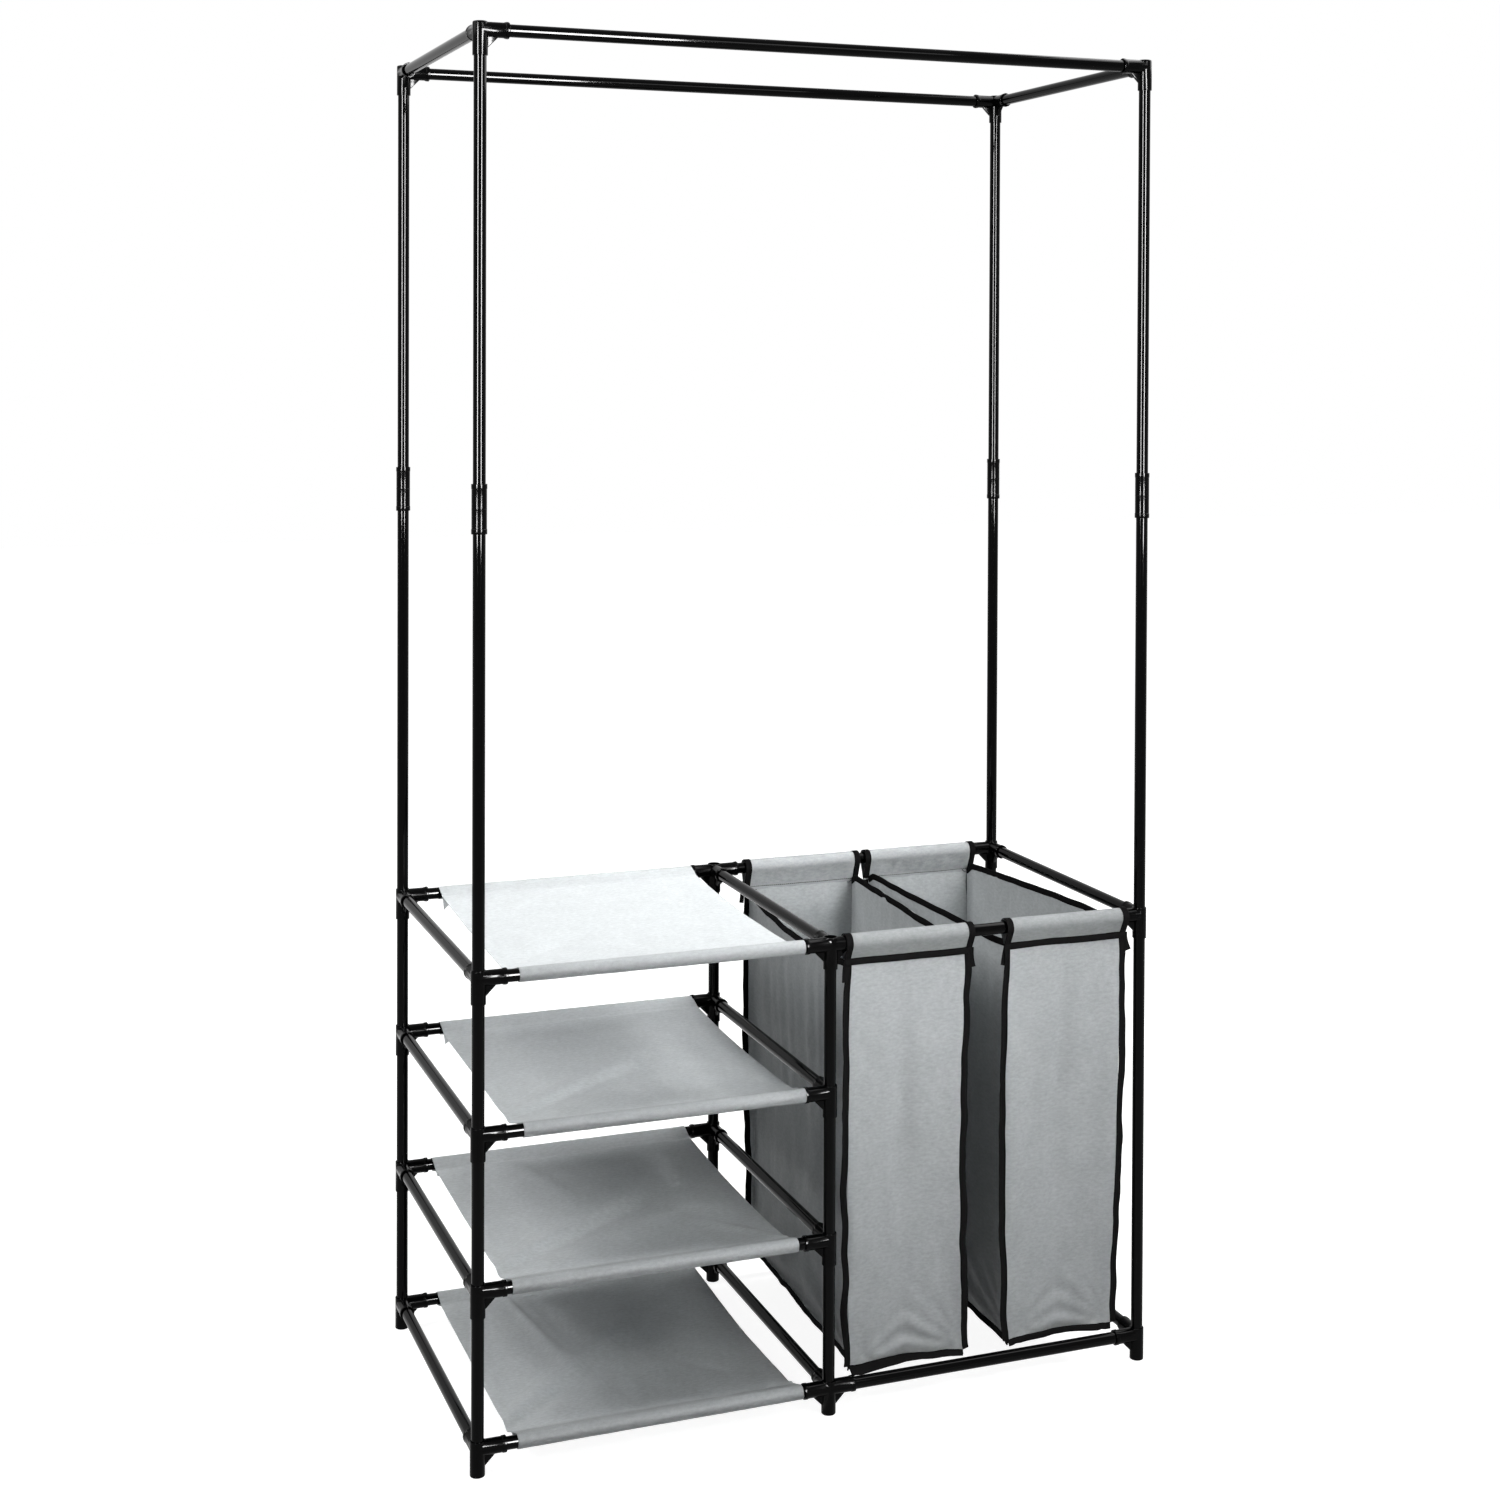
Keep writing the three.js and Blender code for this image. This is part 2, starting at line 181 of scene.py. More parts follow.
# The plain finishes: their noises as (scale per metre, detail, roughness share), which noise tints and
# roughens them and between what shares, and which noises push the surface, with a strength share and a depth
PLAIN_FINISHES = {
    "gloss_black_paint": {
        "noises": {"film": (220.0, 2.0, 0.5), "cloud": (18.0, 2.0, 0.5)},
        "tint_shares": ("cloud", 0.8, 1.3),
        "roughness_shares": ("cloud", 0.04, 0.065),
        "bumps": [("film", 0.02, 0.0002)],
        "specular_share": 0.05,
    },
    "black_moulded_plastic": {
        "noises": {"skin": (110.0, 4.0, 0.5), "grain": (1500.0, 2.0, 0.5)},
        "tint_shares": ("skin", 0.8, 1.4),
        "roughness_shares": ("skin", 0.11, 0.17),
        "bumps": [("grain", 0.02, 0.0001), ("skin", 0.04, 0.0003)],
        "specular_share": 0.042,
    },
    "black_binding_tape": {
        "noises": {"ribs": (1400.0, 3.0, 0.6), "worn": (60.0, 3.0, 0.5)},
        "tint_shares": ("worn", 0.7, 1.5),
        "roughness_shares": ("ribs", 0.7, 0.95),
        "bumps": [("ribs", 0.5, 0.0003)],
        "specular_share": 0.02,
    },
    "grey_thread": THREAD_FINISH,
    "dark_thread": THREAD_FINISH,
}
# The cloth's noises in the same form, its range of roughness, and how far each pattern spreads its colour
CLOTH_NOISES = {
    "fibres": (900.0, 5.0, 0.65),
    "patches": (260.0, 5.0, 0.7),
    "clouds": (30.0, 4.0, 0.6),
    "crumples": (42.0, 3.0, 0.5),
}
DRAWN_CLOTH_NOISES = ("fibres", "patches")
DRAWN_SHARES = (0.5, 1.0, 1.0)
CLOTH_ROUGHNESS_SHARES = (0.36, 0.58)
PATCH_SHARES = (0.88, 1.12)
CLOUD_SHARES = (0.87, 1.06)
BOND_SHARES = (0.93, 1.0)
BONDS_PER_METRE = 620.0
BOND_TURN = (0.0, 0.0, math.radians(45.0))
BOND_JITTER_SHARE = 0.12
BOND_EDGE_SHARES = (0.18, 0.42)
CLOTH_BUMPS = [("fibres", 0.45, 0.00035), ("bonds", 0.5, 0.0002), ("crumples", 0.6, 0.0016)]
CLOTH_GLOSS_SHARES = {"Sheen Weight": 0.03, "Sheen Roughness": 0.5, "Specular IOR Level": 0.05}
# How light the cloths are over a rail, how light the one grey cloth is painted on the shelves and in the bags
# (the shelves painted lighter and the bags darker, as painted light and shade), and the grey thread beside the
# cloth
OVER_RAIL_SHARES = {"shelf_cloth": 0.68, "bag_cloth": 0.63}
# Painted light and shade: the bags' cloth is the shelves' cloth painted darker, not a different cloth
PAINTED_LIGHT_CLOTH_SHARES = {"shelf_cloth": 1.0, "bag_cloth": 0.73}
GREY_THREAD_SHARE = 0.8
DARK_THREAD = (0.012, 0.012, 0.013)
NOISE_MIDDLE_SHARES = (0.3, 0.7)
PATCH_MIDDLE_SHARES = (0.32, 0.68)


def set_inputs(tree, node, inputs):
    """Sets a node's inputs to values, or links them to sockets, by name or number."""
    for name, value in inputs.items():
        if isinstance(value, bpy.types.NodeSocket):
            tree.links.new(value, node.inputs[name])
        else:
            node.inputs[name].default_value = value


def add_node(tree, kind, inputs=None, **settings):
    """Adds a node with its settings and its inputs."""
    node = tree.nodes.new(kind)
    for name, value in settings.items():
        setattr(node, name, value)
    set_inputs(tree, node, inputs or {})
    return node


def new_material(name):
    """An empty material, with its node tree, shader and output."""
    material = bpy.data.materials.new(name)
    material.use_nodes = True
    tree = material.node_tree
    tree.nodes.clear()
    shader = add_node(tree, "ShaderNodeBsdfPrincipled")
    output = add_node(tree, "ShaderNodeOutputMaterial", {"Surface": shader.outputs["BSDF"]})
    return material, tree, shader, output


def speckle(tree, place, scale, detail, rough_share):
    """A socket of noise."""
    inputs = {"Vector": place, "Scale": scale, "Detail": detail, "Roughness": rough_share}
    return add_node(tree, "ShaderNodeTexNoise", inputs).outputs["Fac"]


def ranged(tree, value, given, wanted):
    """A socket with a value moved from one (low, high) range to another."""
    inputs = {"Value": value}
    inputs["From Min"], inputs["From Max"] = given
    inputs["To Min"], inputs["To Max"] = wanted
    return add_node(tree, "ShaderNodeMapRange", inputs).outputs["Result"]


def bumped(tree, height, strength, distance, under):
    """A socket with a surface direction pushed by a height, on top of another if one is given."""
    inputs = {"Height": height, "Strength": strength, "Distance": distance}
    if under:
        inputs["Normal"] = under
    return add_node(tree, "ShaderNodeBump", inputs).outputs["Normal"]


def mixed_colour(tree, factor, dark, light):
    """A colour between two, by a factor socket."""
    inputs = {"Factor": factor, "A": (*dark, 1.0), "B": (*light, 1.0)}
    return add_node(tree, "ShaderNodeMix", inputs, data_type="RGBA").outputs["Result"]


def dimmed(tree, tint, factor, shares):
    """A colour socket times a grey between two shares, by a factor socket."""
    greys = mixed_colour(tree, factor, (shares[0],) * 3, (shares[1],) * 3)
    inputs = {"Factor": 1.0, "A": tint, "B": greys}
    return add_node(tree, "ShaderNodeMix", inputs, data_type="RGBA", blend_type="MULTIPLY").outputs["Result"]


def shaded(base, share):
    """A colour made lighter or darker by a share."""
    return tuple(min(1.0, channel * share) for channel in base)


def plain_material(name, base):
    """A material from its row of PLAIN_FINISHES."""
    plan = PLAIN_FINISHES[name]
    material, tree, shader, _ = new_material(name)
    place = add_node(tree, "ShaderNodeTexCoord").outputs["Object"]
    noises = {kind: speckle(tree, place, *values) for kind, values in plan["noises"].items()}
    kind, dark, light = plan["tint_shares"]
    tint = mixed_colour(tree, noises[kind], shaded(base, dark), shaded(base, light))
    kind, *wanted = plan["roughness_shares"]
    rough = ranged(tree, noises[kind], NOISE_MIDDLE_SHARES, wanted)
    inputs = {"Base Color": tint, "Roughness": rough, "Specular IOR Level": plan["specular_share"]}
    normal = None
    for kind, strength, depth in plan["bumps"]:
        normal = bumped(tree, noises[kind], strength, depth, normal)
        inputs["Normal"] = normal
    set_inputs(tree, shader, inputs)
    return material


def cloth_material(name, base):
    """Non-woven cloth: matted fibres pressed together at a fine grid of bond points. Over a rail its colour
    is taken down to a share, because the black tube shows through."""
    material, tree, shader, _ = new_material(name)
    lie = add_node(tree, "ShaderNodeUVMap", uv_map="cloth").outputs["UV"]
    turned = add_node(tree, "ShaderNodeMapping", {"Vector": lie, "Rotation": BOND_TURN})
    drawn = add_node(tree, "ShaderNodeMapping", {"Vector": lie, "Scale": DRAWN_SHARES})
    heights = {}
    for kind, values in CLOTH_NOISES.items():
        place = drawn.outputs["Vector"] if kind in DRAWN_CLOTH_NOISES else lie
        heights[kind] = speckle(tree, place, *values)
    bonds = add_node(
        tree,
        "ShaderNodeTexVoronoi",
        {"Vector": turned.outputs["Vector"], "Scale": BONDS_PER_METRE, "Randomness": BOND_JITTER_SHARE},
        feature="F1",
    )
    heights["bonds"] = ranged(tree, bonds.outputs["Distance"], BOND_EDGE_SHARES, (0.0, 1.0))
    tone = ranged(tree, heights["patches"], PATCH_MIDDLE_SHARES, (0.0, 1.0))
    tint = mixed_colour(tree, tone, shaded(base, PATCH_SHARES[0]), shaded(base, PATCH_SHARES[1]))
    tint = dimmed(tree, tint, heights["clouds"], CLOUD_SHARES)
    tint = dimmed(tree, tint, heights["bonds"], BOND_SHARES)
    over = add_node(tree, "ShaderNodeAttribute", attribute_type="GEOMETRY", attribute_name="over_rail")
    tint = dimmed(tree, tint, over.outputs["Fac"], (1.0, OVER_RAIL_SHARES[name]))
    normal = None
    for kind, strength, depth in CLOTH_BUMPS:
        normal = bumped(tree, heights[kind], strength, depth, normal)
    inputs = {
        "Base Color": tint,
        "Roughness": ranged(tree, heights["fibres"], NOISE_MIDDLE_SHARES, CLOTH_ROUGHNESS_SHARES),
        "Normal": normal,
        **CLOTH_GLOSS_SHARES,
    }
    set_inputs(tree, shader, inputs)
    return material


def material_of(name):
    """A material made earlier, or made now from the finishes."""
    made = bpy.data.materials.get(name)
    if made:
        return made
    finishes = bpy.context.scene.wardrobe_finishes
    # The bag cloth is the same cloth painted darker by its share: painted shade
    if name in PAINTED_LIGHT_CLOTH_SHARES:
        return cloth_material(name, shaded(finishes.cloth, PAINTED_LIGHT_CLOTH_SHARES[name]))
    bases = {
        "gloss_black_paint": finishes.steel,
        "black_moulded_plastic": finishes.plastic,
        "black_binding_tape": finishes.binding,
        "grey_thread": shaded(finishes.cloth, GREY_THREAD_SHARE),
        "dark_thread": DARK_THREAD,
    }
    return plain_material(name, bases[name])


# Meshes and pieces


MERGE_DISTANCE = 1e-7
# The angle in degrees above which an edge stays sharp, for each kind of piece
SHARP_TUBE = 40.0
SHARP_MOULDING = 32.0
SHARP_CLOTH = 60.0
SHARP_THREAD = 50.0


def link(name, mesh):
    """A new object of the scene with the given mesh."""
    made = bpy.data.objects.new(name, mesh)
    bpy.context.scene.collection.objects.link(made)
    return made


def mesh_of(name, points, faces):
    """A mesh from points and faces, with its normals turned outwards."""
    mesh = bpy.data.meshes.new(name)
    mesh.from_pydata([tuple(p) for p in points], [], faces)
    mesh.validate()
    turn_outwards(mesh)
    return mesh


def turn_outwards(mesh):
    """Turns each shell's faces outwards."""
    shell = bmesh.new()
    shell.from_mesh(mesh)
    bmesh.ops.remove_doubles(shell, verts=shell.verts, dist=MERGE_DISTANCE)
    bmesh.ops.recalc_face_normals(shell, faces=shell.faces)
    shell.to_mesh(mesh)
    shell.free()
    mesh.update()


def joined(meshes, name):
    """Several (points, faces) lists as one."""
    points, faces = [], []
    for some_points, some_faces in meshes:
        start = len(points)
        points += [tuple(p) for p in some_points]
        faces += [[start + i for i in face] for face in some_faces]
    return mesh_of(name, points, faces)


def between(a, b, share):
    """A value part of the way from one to another."""
    return a + (b - a) * share


def applied(source):
    """The mesh of an object as its modifiers leave it. The object goes."""
    graph = bpy.context.evaluated_depsgraph_get()
    graph.update()
    made = bpy.data.meshes.new_from_object(
        source.evaluated_get(graph), preserve_all_data_layers=True, depsgraph=graph
    )
    bpy.data.objects.remove(source)
    return made


def settled(name, mesh, body, material_name, sharp, nodes=()):
    """A finished smooth piece that rides on a body and material, in place of the nodes."""
    mesh.shade_smooth()
    mesh.set_sharp_from_angle(angle=math.radians(sharp))
    mesh.name = name
    piece = link(name, mesh)
    mesh.materials.clear()
    mesh.materials.append(material_of(material_name))
    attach(piece, body)
    if nodes:
        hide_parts(*nodes)
    return piece


def lathe(profile, sides):
    """Points and faces of a closed turned body along Z, from (radius, height) pairs from axis to axis."""
    points, faces, rings = [], [], []
    for radius, height in profile:
        count = sides if radius > 0 else 1
        first = len(points)
        for i in range(count):
            angle = 2 * math.pi * i / sides
            points.append((radius * math.cos(angle), radius * math.sin(angle), height))
        rings.append([first + i % count for i in range(sides)])
    for low, high in zip(rings, rings[1:]):
        for i in range(sides):
            j = (i + 1) % sides
            face = list(dict.fromkeys([low[i], low[j], high[j], high[i]]))
            if len(face) > 2:
                faces.append(face)
    return points, faces


MOST_ROUNDING_SHARE = 0.45


def rounded(profile, radius, steps=3):
    """The profile with each inner corner cut by a short arc, sized by the shorter side there."""
    made = [profile[0]]
    for before, corner, after in zip(profile, profile[1:], profile[2:]):
        c = Vector(corner)
        into, out = Vector(before) - c, Vector(after) - c
        reach = min(radius, MOST_ROUNDING_SHARE * into.length, MOST_ROUNDING_SHARE * out.length)
        start, end = c + into.normalized() * reach, c + out.normalized() * reach
        for i in range(steps + 1):
            t = i / steps
            made.append(tuple((1 - t) ** 2 * start + 2 * t * (1 - t) * c + t**2 * end))
    return made + [profile[-1]]


def moved(shape, matrix):
    """Points and faces moved by a matrix."""
    points, faces = shape
    return [matrix @ Vector(p) for p in points], faces


def point_mesh(name, places, **values):
    """Loose points with a named direction or number each, for a tree to read."""
    mesh = bpy.data.meshes.new(name)
    mesh.from_pydata([tuple(place) for place in places], [], [])
    for key, column in values.items():
        kind, field = ("FLOAT_VECTOR", "vector") if isinstance(column[0], Vector) else ("FLOAT", "value")
        held = mesh.attributes.new(key, kind, "POINT").data
        for i, value in enumerate(column):
            setattr(held[i], field, value)
    return mesh


def point_value(tree, name, kind="FLOAT"):
    """A socket with a point's named value."""
    node = add_node(tree, "GeometryNodeInputNamedAttribute", {"Name": name}, data_type=kind)
    return node.outputs["Attribute"]


def along_turn(tree):
    """A socket with the turn that lays Z along each point's direction."""
    inputs = {"Vector": point_value(tree, "along", "FLOAT_VECTOR")}
    return add_node(tree, "FunctionNodeAlignRotationToVector", inputs, axis="Z").outputs["Rotation"]


def tube_plan(tree, given):
    """A hollow tube of unit length, laid along each point's direction and stretched to its span."""
    half_wall = add_node(tree, "ShaderNodeMath", {0: given["Wall"], 1: 0.5}, operation="MULTIPLY")
    inputs = {0: given["Radius"], 1: half_wall.outputs[0]}
    middle_radius = add_node(tree, "ShaderNodeMath", inputs, operation="SUBTRACT")
    inputs = {"Resolution": given["Sides"], "Radius": middle_radius.outputs[0]}
    circle = add_node(tree, "GeometryNodeCurvePrimitiveCircle", inputs)
    inputs = {"Width": given["Wall"], "Height": 1.0}
    section = add_node(tree, "GeometryNodeCurvePrimitiveQuadrilateral", inputs)
    inputs = {"Curve": circle.outputs["Curve"], "Profile Curve": section.outputs["Curve"]}
    ring = add_node(tree, "GeometryNodeCurveToMesh", inputs)
    inputs = {"X": 1.0, "Y": 1.0, "Z": point_value(tree, "span")}
    stretch = add_node(tree, "ShaderNodeCombineXYZ", inputs).outputs["Vector"]
    return {"Instance": ring.outputs["Mesh"], "Rotation": along_turn(tree), "Scale": stretch}


def moulding_plan(tree, given):
    """A moulding, turned about Z by each point's angle."""
    moulding = add_node(tree, "GeometryNodeObjectInfo", {"Object": given["Moulding"]})
    euler = add_node(tree, "ShaderNodeCombineXYZ", {"Z": point_value(tree, "turn")})
    rotation = add_node(tree, "FunctionNodeEulerToRotation", {"Euler": euler.outputs["Vector"]})
    return {"Instance": moulding.outputs["Geometry"], "Rotation": rotation.outputs["Rotation"]}


THREAD_SIDES = 6


def stitch_plan(tree, given):
    """A short thread, laid along each point's direction."""
    inputs = {"Vertices": THREAD_SIDES, "Radius": given["Thread Radius"], "Depth": given["Stitch Length"]}
    thread = add_node(tree, "GeometryNodeMeshCylinder", inputs)
    return {"Instance": thread.outputs["Mesh"], "Rotation": along_turn(tree)}


# The trees that repeat a shape on points: their inputs, and the plan of what they repeat
COPYING_TREES = {
    "straight_tubes": ({"Radius": "Float", "Wall": "Float", "Sides": "Int"}, tube_plan),
    "placed_mouldings": ({"Moulding": "Object"}, moulding_plan),
    "stitches": ({"Thread Radius": "Float", "Stitch Length": "Float"}, stitch_plan),
}


def copying_tree(name):
    """The geometry node tree that puts a shape on each point, as real faces of one material."""
    made = bpy.data.node_groups.get(name)
    if made:
        return made
    sockets, plan = COPYING_TREES[name]
    tree = bpy.data.node_groups.new(name, "GeometryNodeTree")
    for way in ("INPUT", "OUTPUT"):
        tree.interface.new_socket("Geometry", in_out=way, socket_type="NodeSocketGeometry")
    for socket, kind in {**sockets, "Material": "Material"}.items():
        tree.interface.new_socket(socket, in_out="INPUT", socket_type="NodeSocket" + kind)
    given = tree.nodes.new("NodeGroupInput").outputs
    inputs = {"Points": given["Geometry"], **plan(tree, given)}
    copies = add_node(tree, "GeometryNodeInstanceOnPoints", inputs)
    real = add_node(tree, "GeometryNodeRealizeInstances", {"Geometry": copies.outputs["Instances"]})
    inputs = {"Geometry": real.outputs["Geometry"], "Material": given["Material"]}
    dressed = add_node(tree, "GeometryNodeSetMaterial", inputs)
    add_node(tree, "NodeGroupOutput", {"Geometry": dressed.outputs["Geometry"]})
    return tree


def grown(name, points, tree_name, values):
    """The plain mesh that a copying tree makes on points, with its named inputs set."""
    tree = copying_tree(tree_name)
    seed = link(name + "_seed", points)
    modifier = seed.modifiers.new("grow", "NODES")
    modifier.node_group = tree
    for item in tree.interface.items_tree:
        if item.item_type == "SOCKET" and item.in_out == "INPUT" and item.name in values:
            modifier[item.identifier] = values[item.name]
    seed.update_tag()
    return applied(seed)


def tubes(name, rows, nodes):
    """One piece of straight tubes from (start, end) pairs, in place of the nodes."""
    sizes = bpy.context.scene.wardrobe_tubes
    middles = [(Vector(start) + Vector(end)) / 2 for start, end in rows]
    runs = [Vector(end) - Vector(start) for start, end in rows]
    along, span = [run.normalized() for run in runs], [run.length for run in runs]
    points = point_mesh(name, middles, along=along, span=span)
    values = {"Radius": sizes.diameter / 2, "Wall": sizes.wall, "Sides": sizes.sides}
    values["Material"] = material_of("gloss_black_paint")
    mesh = grown(name, points, "straight_tubes", values)
    turn_outwards(mesh)
    settled(name, mesh, FRAME_BODY, "gloss_black_paint", SHARP_TUBE, nodes)


def placed_mouldings(name, moulding, places, nodes):
    """One piece of equal mouldings at (place, turn) pairs, in place of the nodes."""
    points = point_mesh(name, [place for place, _ in places], turn=[turn for _, turn in places])
    source = link(name + "_moulding", moulding)
    values = {"Moulding": source, "Material": material_of("black_moulded_plastic")}
    mesh = grown(name, points, "placed_mouldings", values)
    bpy.data.objects.remove(source)
    settled(name, mesh, FRAME_BODY, "black_moulded_plastic", SHARP_MOULDING, nodes)


# Connectors


# Lengths and shares of a connector that stay fixed, and the steps of its larger roundings
WEB_ROUNDING = 0.8 * MM
LUG_ROUNDING = 0.25 * MM
LUG_SINK = 1.0 * MM
LUG_NOSE = 0.2 * MM
LUG_NOSE_SHARE = 0.55
WEB_CORE_SHARE = 0.3
BEVEL_ANGLE = 50.0
DRILL_OVERRUN = 2.0 * MM
SLEEVE_RIM_HEIGHT = 0.25 * MM
SLEEVE_RIM_HALF = 0.6 * MM
FOOT_STEPS = 5
TOP_STEPS = 6


def arm_shape(sizes):
    """A side arm along Z: a plain pipe with a blind bore and a collar round its mouth."""
    mouth, floor = sizes.side_reach, sizes.side_reach - sizes.plug_depth
    collar = sizes.arm_radius + sizes.collar_height
    step = mouth - sizes.collar_width
    profile = [
        (0.0, 0.0),
        (sizes.arm_radius, 0.0),
        (sizes.arm_radius, step),
        (collar, step + sizes.collar_height / 2),
        (collar, mouth),
        (sizes.bore_radius, mouth),
        (sizes.bore_radius, floor),
        (0.0, floor),
    ]
    return lathe(rounded(profile, sizes.edge_rounding), sizes.sides)


def plate(outline, thickness):
    """Points and faces of an even plate across Y, from its outline in the XZ plane."""
    points = [(x, y, z) for y in (-thickness / 2, thickness / 2) for x, z in outline]
    count = len(outline)
    faces = [list(range(count)), [count + i for i in reversed(range(count))]]
    faces += [[i, (i + 1) % count, count + (i + 1) % count, count + i] for i in range(count)]
    return points, faces


def lug_shape(sizes, side):
    """The small lug on a collar, with a sloping nose: above the arm (1) or below it (-1)."""
    base = sizes.arm_radius
    top = base + sizes.collar_height + sizes.nub_height
    start, end = sizes.side_reach - sizes.nub_length, sizes.side_reach - sizes.edge_rounding
    nose = start + sizes.nub_length * LUG_NOSE_SHARE
    under = base - LUG_SINK
    outline = [(start, under), (end, under), (end, top), (nose, top), (start, base + LUG_NOSE)]
    return plate([(x, side * z) for x, z in outline], sizes.nub_width)


def web_shape(sizes):
    """The web that braces an arm against the body below it."""
    near, far = sizes.arm_radius, sizes.arm_radius + sizes.gusset_leg
    core = near * WEB_CORE_SHARE
    outline = [(core, -core), (core, -far), (near, -far), (far, -near), (far, -core)]
    return plate(outline, sizes.gusset_thickness)


def body_shape(sizes, bottom, bottom_rounding, top_rounding):
    """The body on the post's axis, closed above and below."""
    radius = sizes.arm_radius
    profile = [(0.0, bottom), (radius, bottom), (radius, sizes.top_rise), (0.0, sizes.top_rise)]
    low = rounded(profile[:3], max(bottom_rounding, sizes.edge_rounding), FOOT_STEPS)
    high = rounded(profile[1:], max(top_rounding, sizes.edge_rounding), TOP_STEPS)
    return lathe(low[:-1] + high[1:], sizes.sides)


def combined(mesh, shapes, operation):
    """The mesh with each (points, faces) shape joined to it or cut out of it."""
    whole = link("whole", mesh)
    tools = []
    for shape in shapes:
        tools.append(link("tool", mesh_of("tool", *shape)))
        modifier = whole.modifiers.new("combine", "BOOLEAN")
        modifier.operation = operation
        modifier.solver = "EXACT"
        modifier.object = tools[-1]
    made = applied(whole)
    for tool in tools:
        bpy.data.objects.remove(tool)
    return made


def bevelled(shape, width):
    """Points and faces of a shape with its sharp edges rounded."""
    source = link("bevelled", mesh_of("bevelled", *shape))
    modifier = source.modifiers.new("round", "BEVEL")
    modifier.width = width
    modifier.segments = 2
    modifier.limit_method = "ANGLE"
    modifier.angle_limit = math.radians(BEVEL_ANGLE)
    made = applied(source)
    return [v.co.copy() for v in made.vertices], [list(p.vertices) for p in made.polygons]


def connector(arms, foot=False, closed_top=False):
    """A moulding with an arm at each angle given, in degrees, on a foot or above a socket."""
    sizes = bpy.context.scene.wardrobe_connectors

    def drill(low, high):
        radius = sizes.bore_radius
        return lathe([(0, low), (radius, low), (radius, high), (0, high)], sizes.sides)

    bottom = -BASE_LEVEL if foot else -sizes.down_reach
    foot_rounding = sizes.foot_rounding if foot else 0.0
    parts = [body_shape(sizes, bottom, foot_rounding, sizes.corner_rounding if closed_top else 0.0)]
    level = Matrix.Rotation(math.pi / 2, 4, "Y")
    extras = [bevelled(web_shape(sizes), WEB_ROUNDING)]
    extras += [bevelled(lug_shape(sizes, side), LUG_ROUNDING) for side in (1.0, -1.0)]
    for degrees in arms:
        turn = Matrix.Rotation(math.radians(degrees), 4, "Z")
        parts.append(moved(arm_shape(sizes), turn @ level))
        parts += [moved(extra, turn) for extra in extras]
    mesh = combined(mesh_of("moulding", *parts[0]), parts[1:], "UNION")
    cuts = []
    if not foot:
        cuts.append(drill(bottom - DRILL_OVERRUN, bottom + sizes.plug_depth))
    if not closed_top:
        cuts.append(drill(sizes.top_rise - sizes.open_top_depth, sizes.top_rise + DRILL_OVERRUN))
    return combined(mesh, cuts, "DIFFERENCE") if cuts else mesh


def sleeve_mesh():
    """A straight sleeve with an end ring at both mouths, a socket in each end and a rim between."""
    sizes = bpy.context.scene.wardrobe_connectors
    half = sizes.sleeve_length / 2
    ring = sizes.arm_radius + sizes.sleeve_ring_height
    slope = sizes.sleeve_ring_height
    low, high = -half + sizes.sleeve_ring_width, half - sizes.sleeve_ring_width
    deep = half - sizes.plug_depth
    profile = [
        (0.0, -deep),
        (sizes.bore_radius, -deep),
        (sizes.bore_radius, -half),
        (ring, -half),
        (ring, low),
        (sizes.arm_radius, low + slope),
        (sizes.arm_radius, -SLEEVE_RIM_HALF),
        (sizes.arm_radius + SLEEVE_RIM_HEIGHT, 0.0),
        (sizes.arm_radius, SLEEVE_RIM_HALF),
        (sizes.arm_radius, high - slope),
        (ring, high),
        (ring, half),
        (sizes.bore_radius, half),
        (sizes.bore_radius, deep),
        (0.0, deep),
    ]
    return mesh_of("post_sleeve", *lathe(rounded(profile, sizes.edge_rounding), sizes.sides))


# Cloth


# How far each rail darkens the cloth that is drawn over it, and the lengths of the edge of that shade
TIGHT_SHARES = {"front": 1.0, "rear": 0.5}
TIGHT_MARGIN = 1.0 * MM
TIGHT_FADE = 2.0 * MM
# The steps of a hem's section: its loose edge, each straight run to the seam, and the way round the rail
LOOSE_STEPS = 4
SEAM_STEPS = 6
HEM_STEPS = 26
SHELF_STEPS = 96
SHELF_COLUMNS = 108
LAYERS_APART_SHARE = 1.25
# How wide and how high a crease starts, and how much it rises along its run, as shares
CREASE_START_WIDTH_SHARE = 0.5
CREASE_START_SHARE = 0.4
CREASE_RISE_SHARE = 2.4
# The sheet's ripples as (waves a metre across, waves a metre back, seed shift, share of the crease height)
SHEET_RIPPLES = ((9, 6, 0, 0.25), (26, 17, 7, 0.10))
# How steeply the ripples, the creases and the skew fade towards the hems
RIPPLE_FADE_SHARE = 3.0
CREASE_FADE_SHARE = 11.25
SKEW_FADE_SHARE = 60
CROSS_SAG_SHARE = 0.175
HEM_PUFF = 0.0003
STITCH_SHARE = 0.72
SHELF_STITCH_RISE_SHARE = 0.2
# Points closer than this, in metres, count as one row
SAME_PLACE = 1e-6


def wave(*place):
    """Smooth noise between -1 and 1 at a place."""
    return noise.noise(Vector(place))


def arched(share, height):
    """A curve that is 0 at both ends and the height halfway."""
    return height * 4 * share * (1 - share)


def over_rail(point):
    """How far the cloth over a rail is darkened: in full where it is drawn tight over the front rail, less
    over the rear rail, and not at all where it hangs free."""
    depth = bpy.context.scene.wardrobe_shelves.hem_depth
    shade = 0.0
    for row, share in TIGHT_SHARES.items():
        away = abs(point[1] - ROWS[row])
        shade = max(shade, share * min(1.0, (depth + TIGHT_MARGIN - away) / TIGHT_FADE))
    return shade


def lengths_along(path):
    """How far along a path each of its points lies."""
    lengths = [0.0]
    for a, b in zip(path, path[1:]):
        lengths.append(lengths[-1] + (Vector(b) - Vector(a)).length)
    return lengths


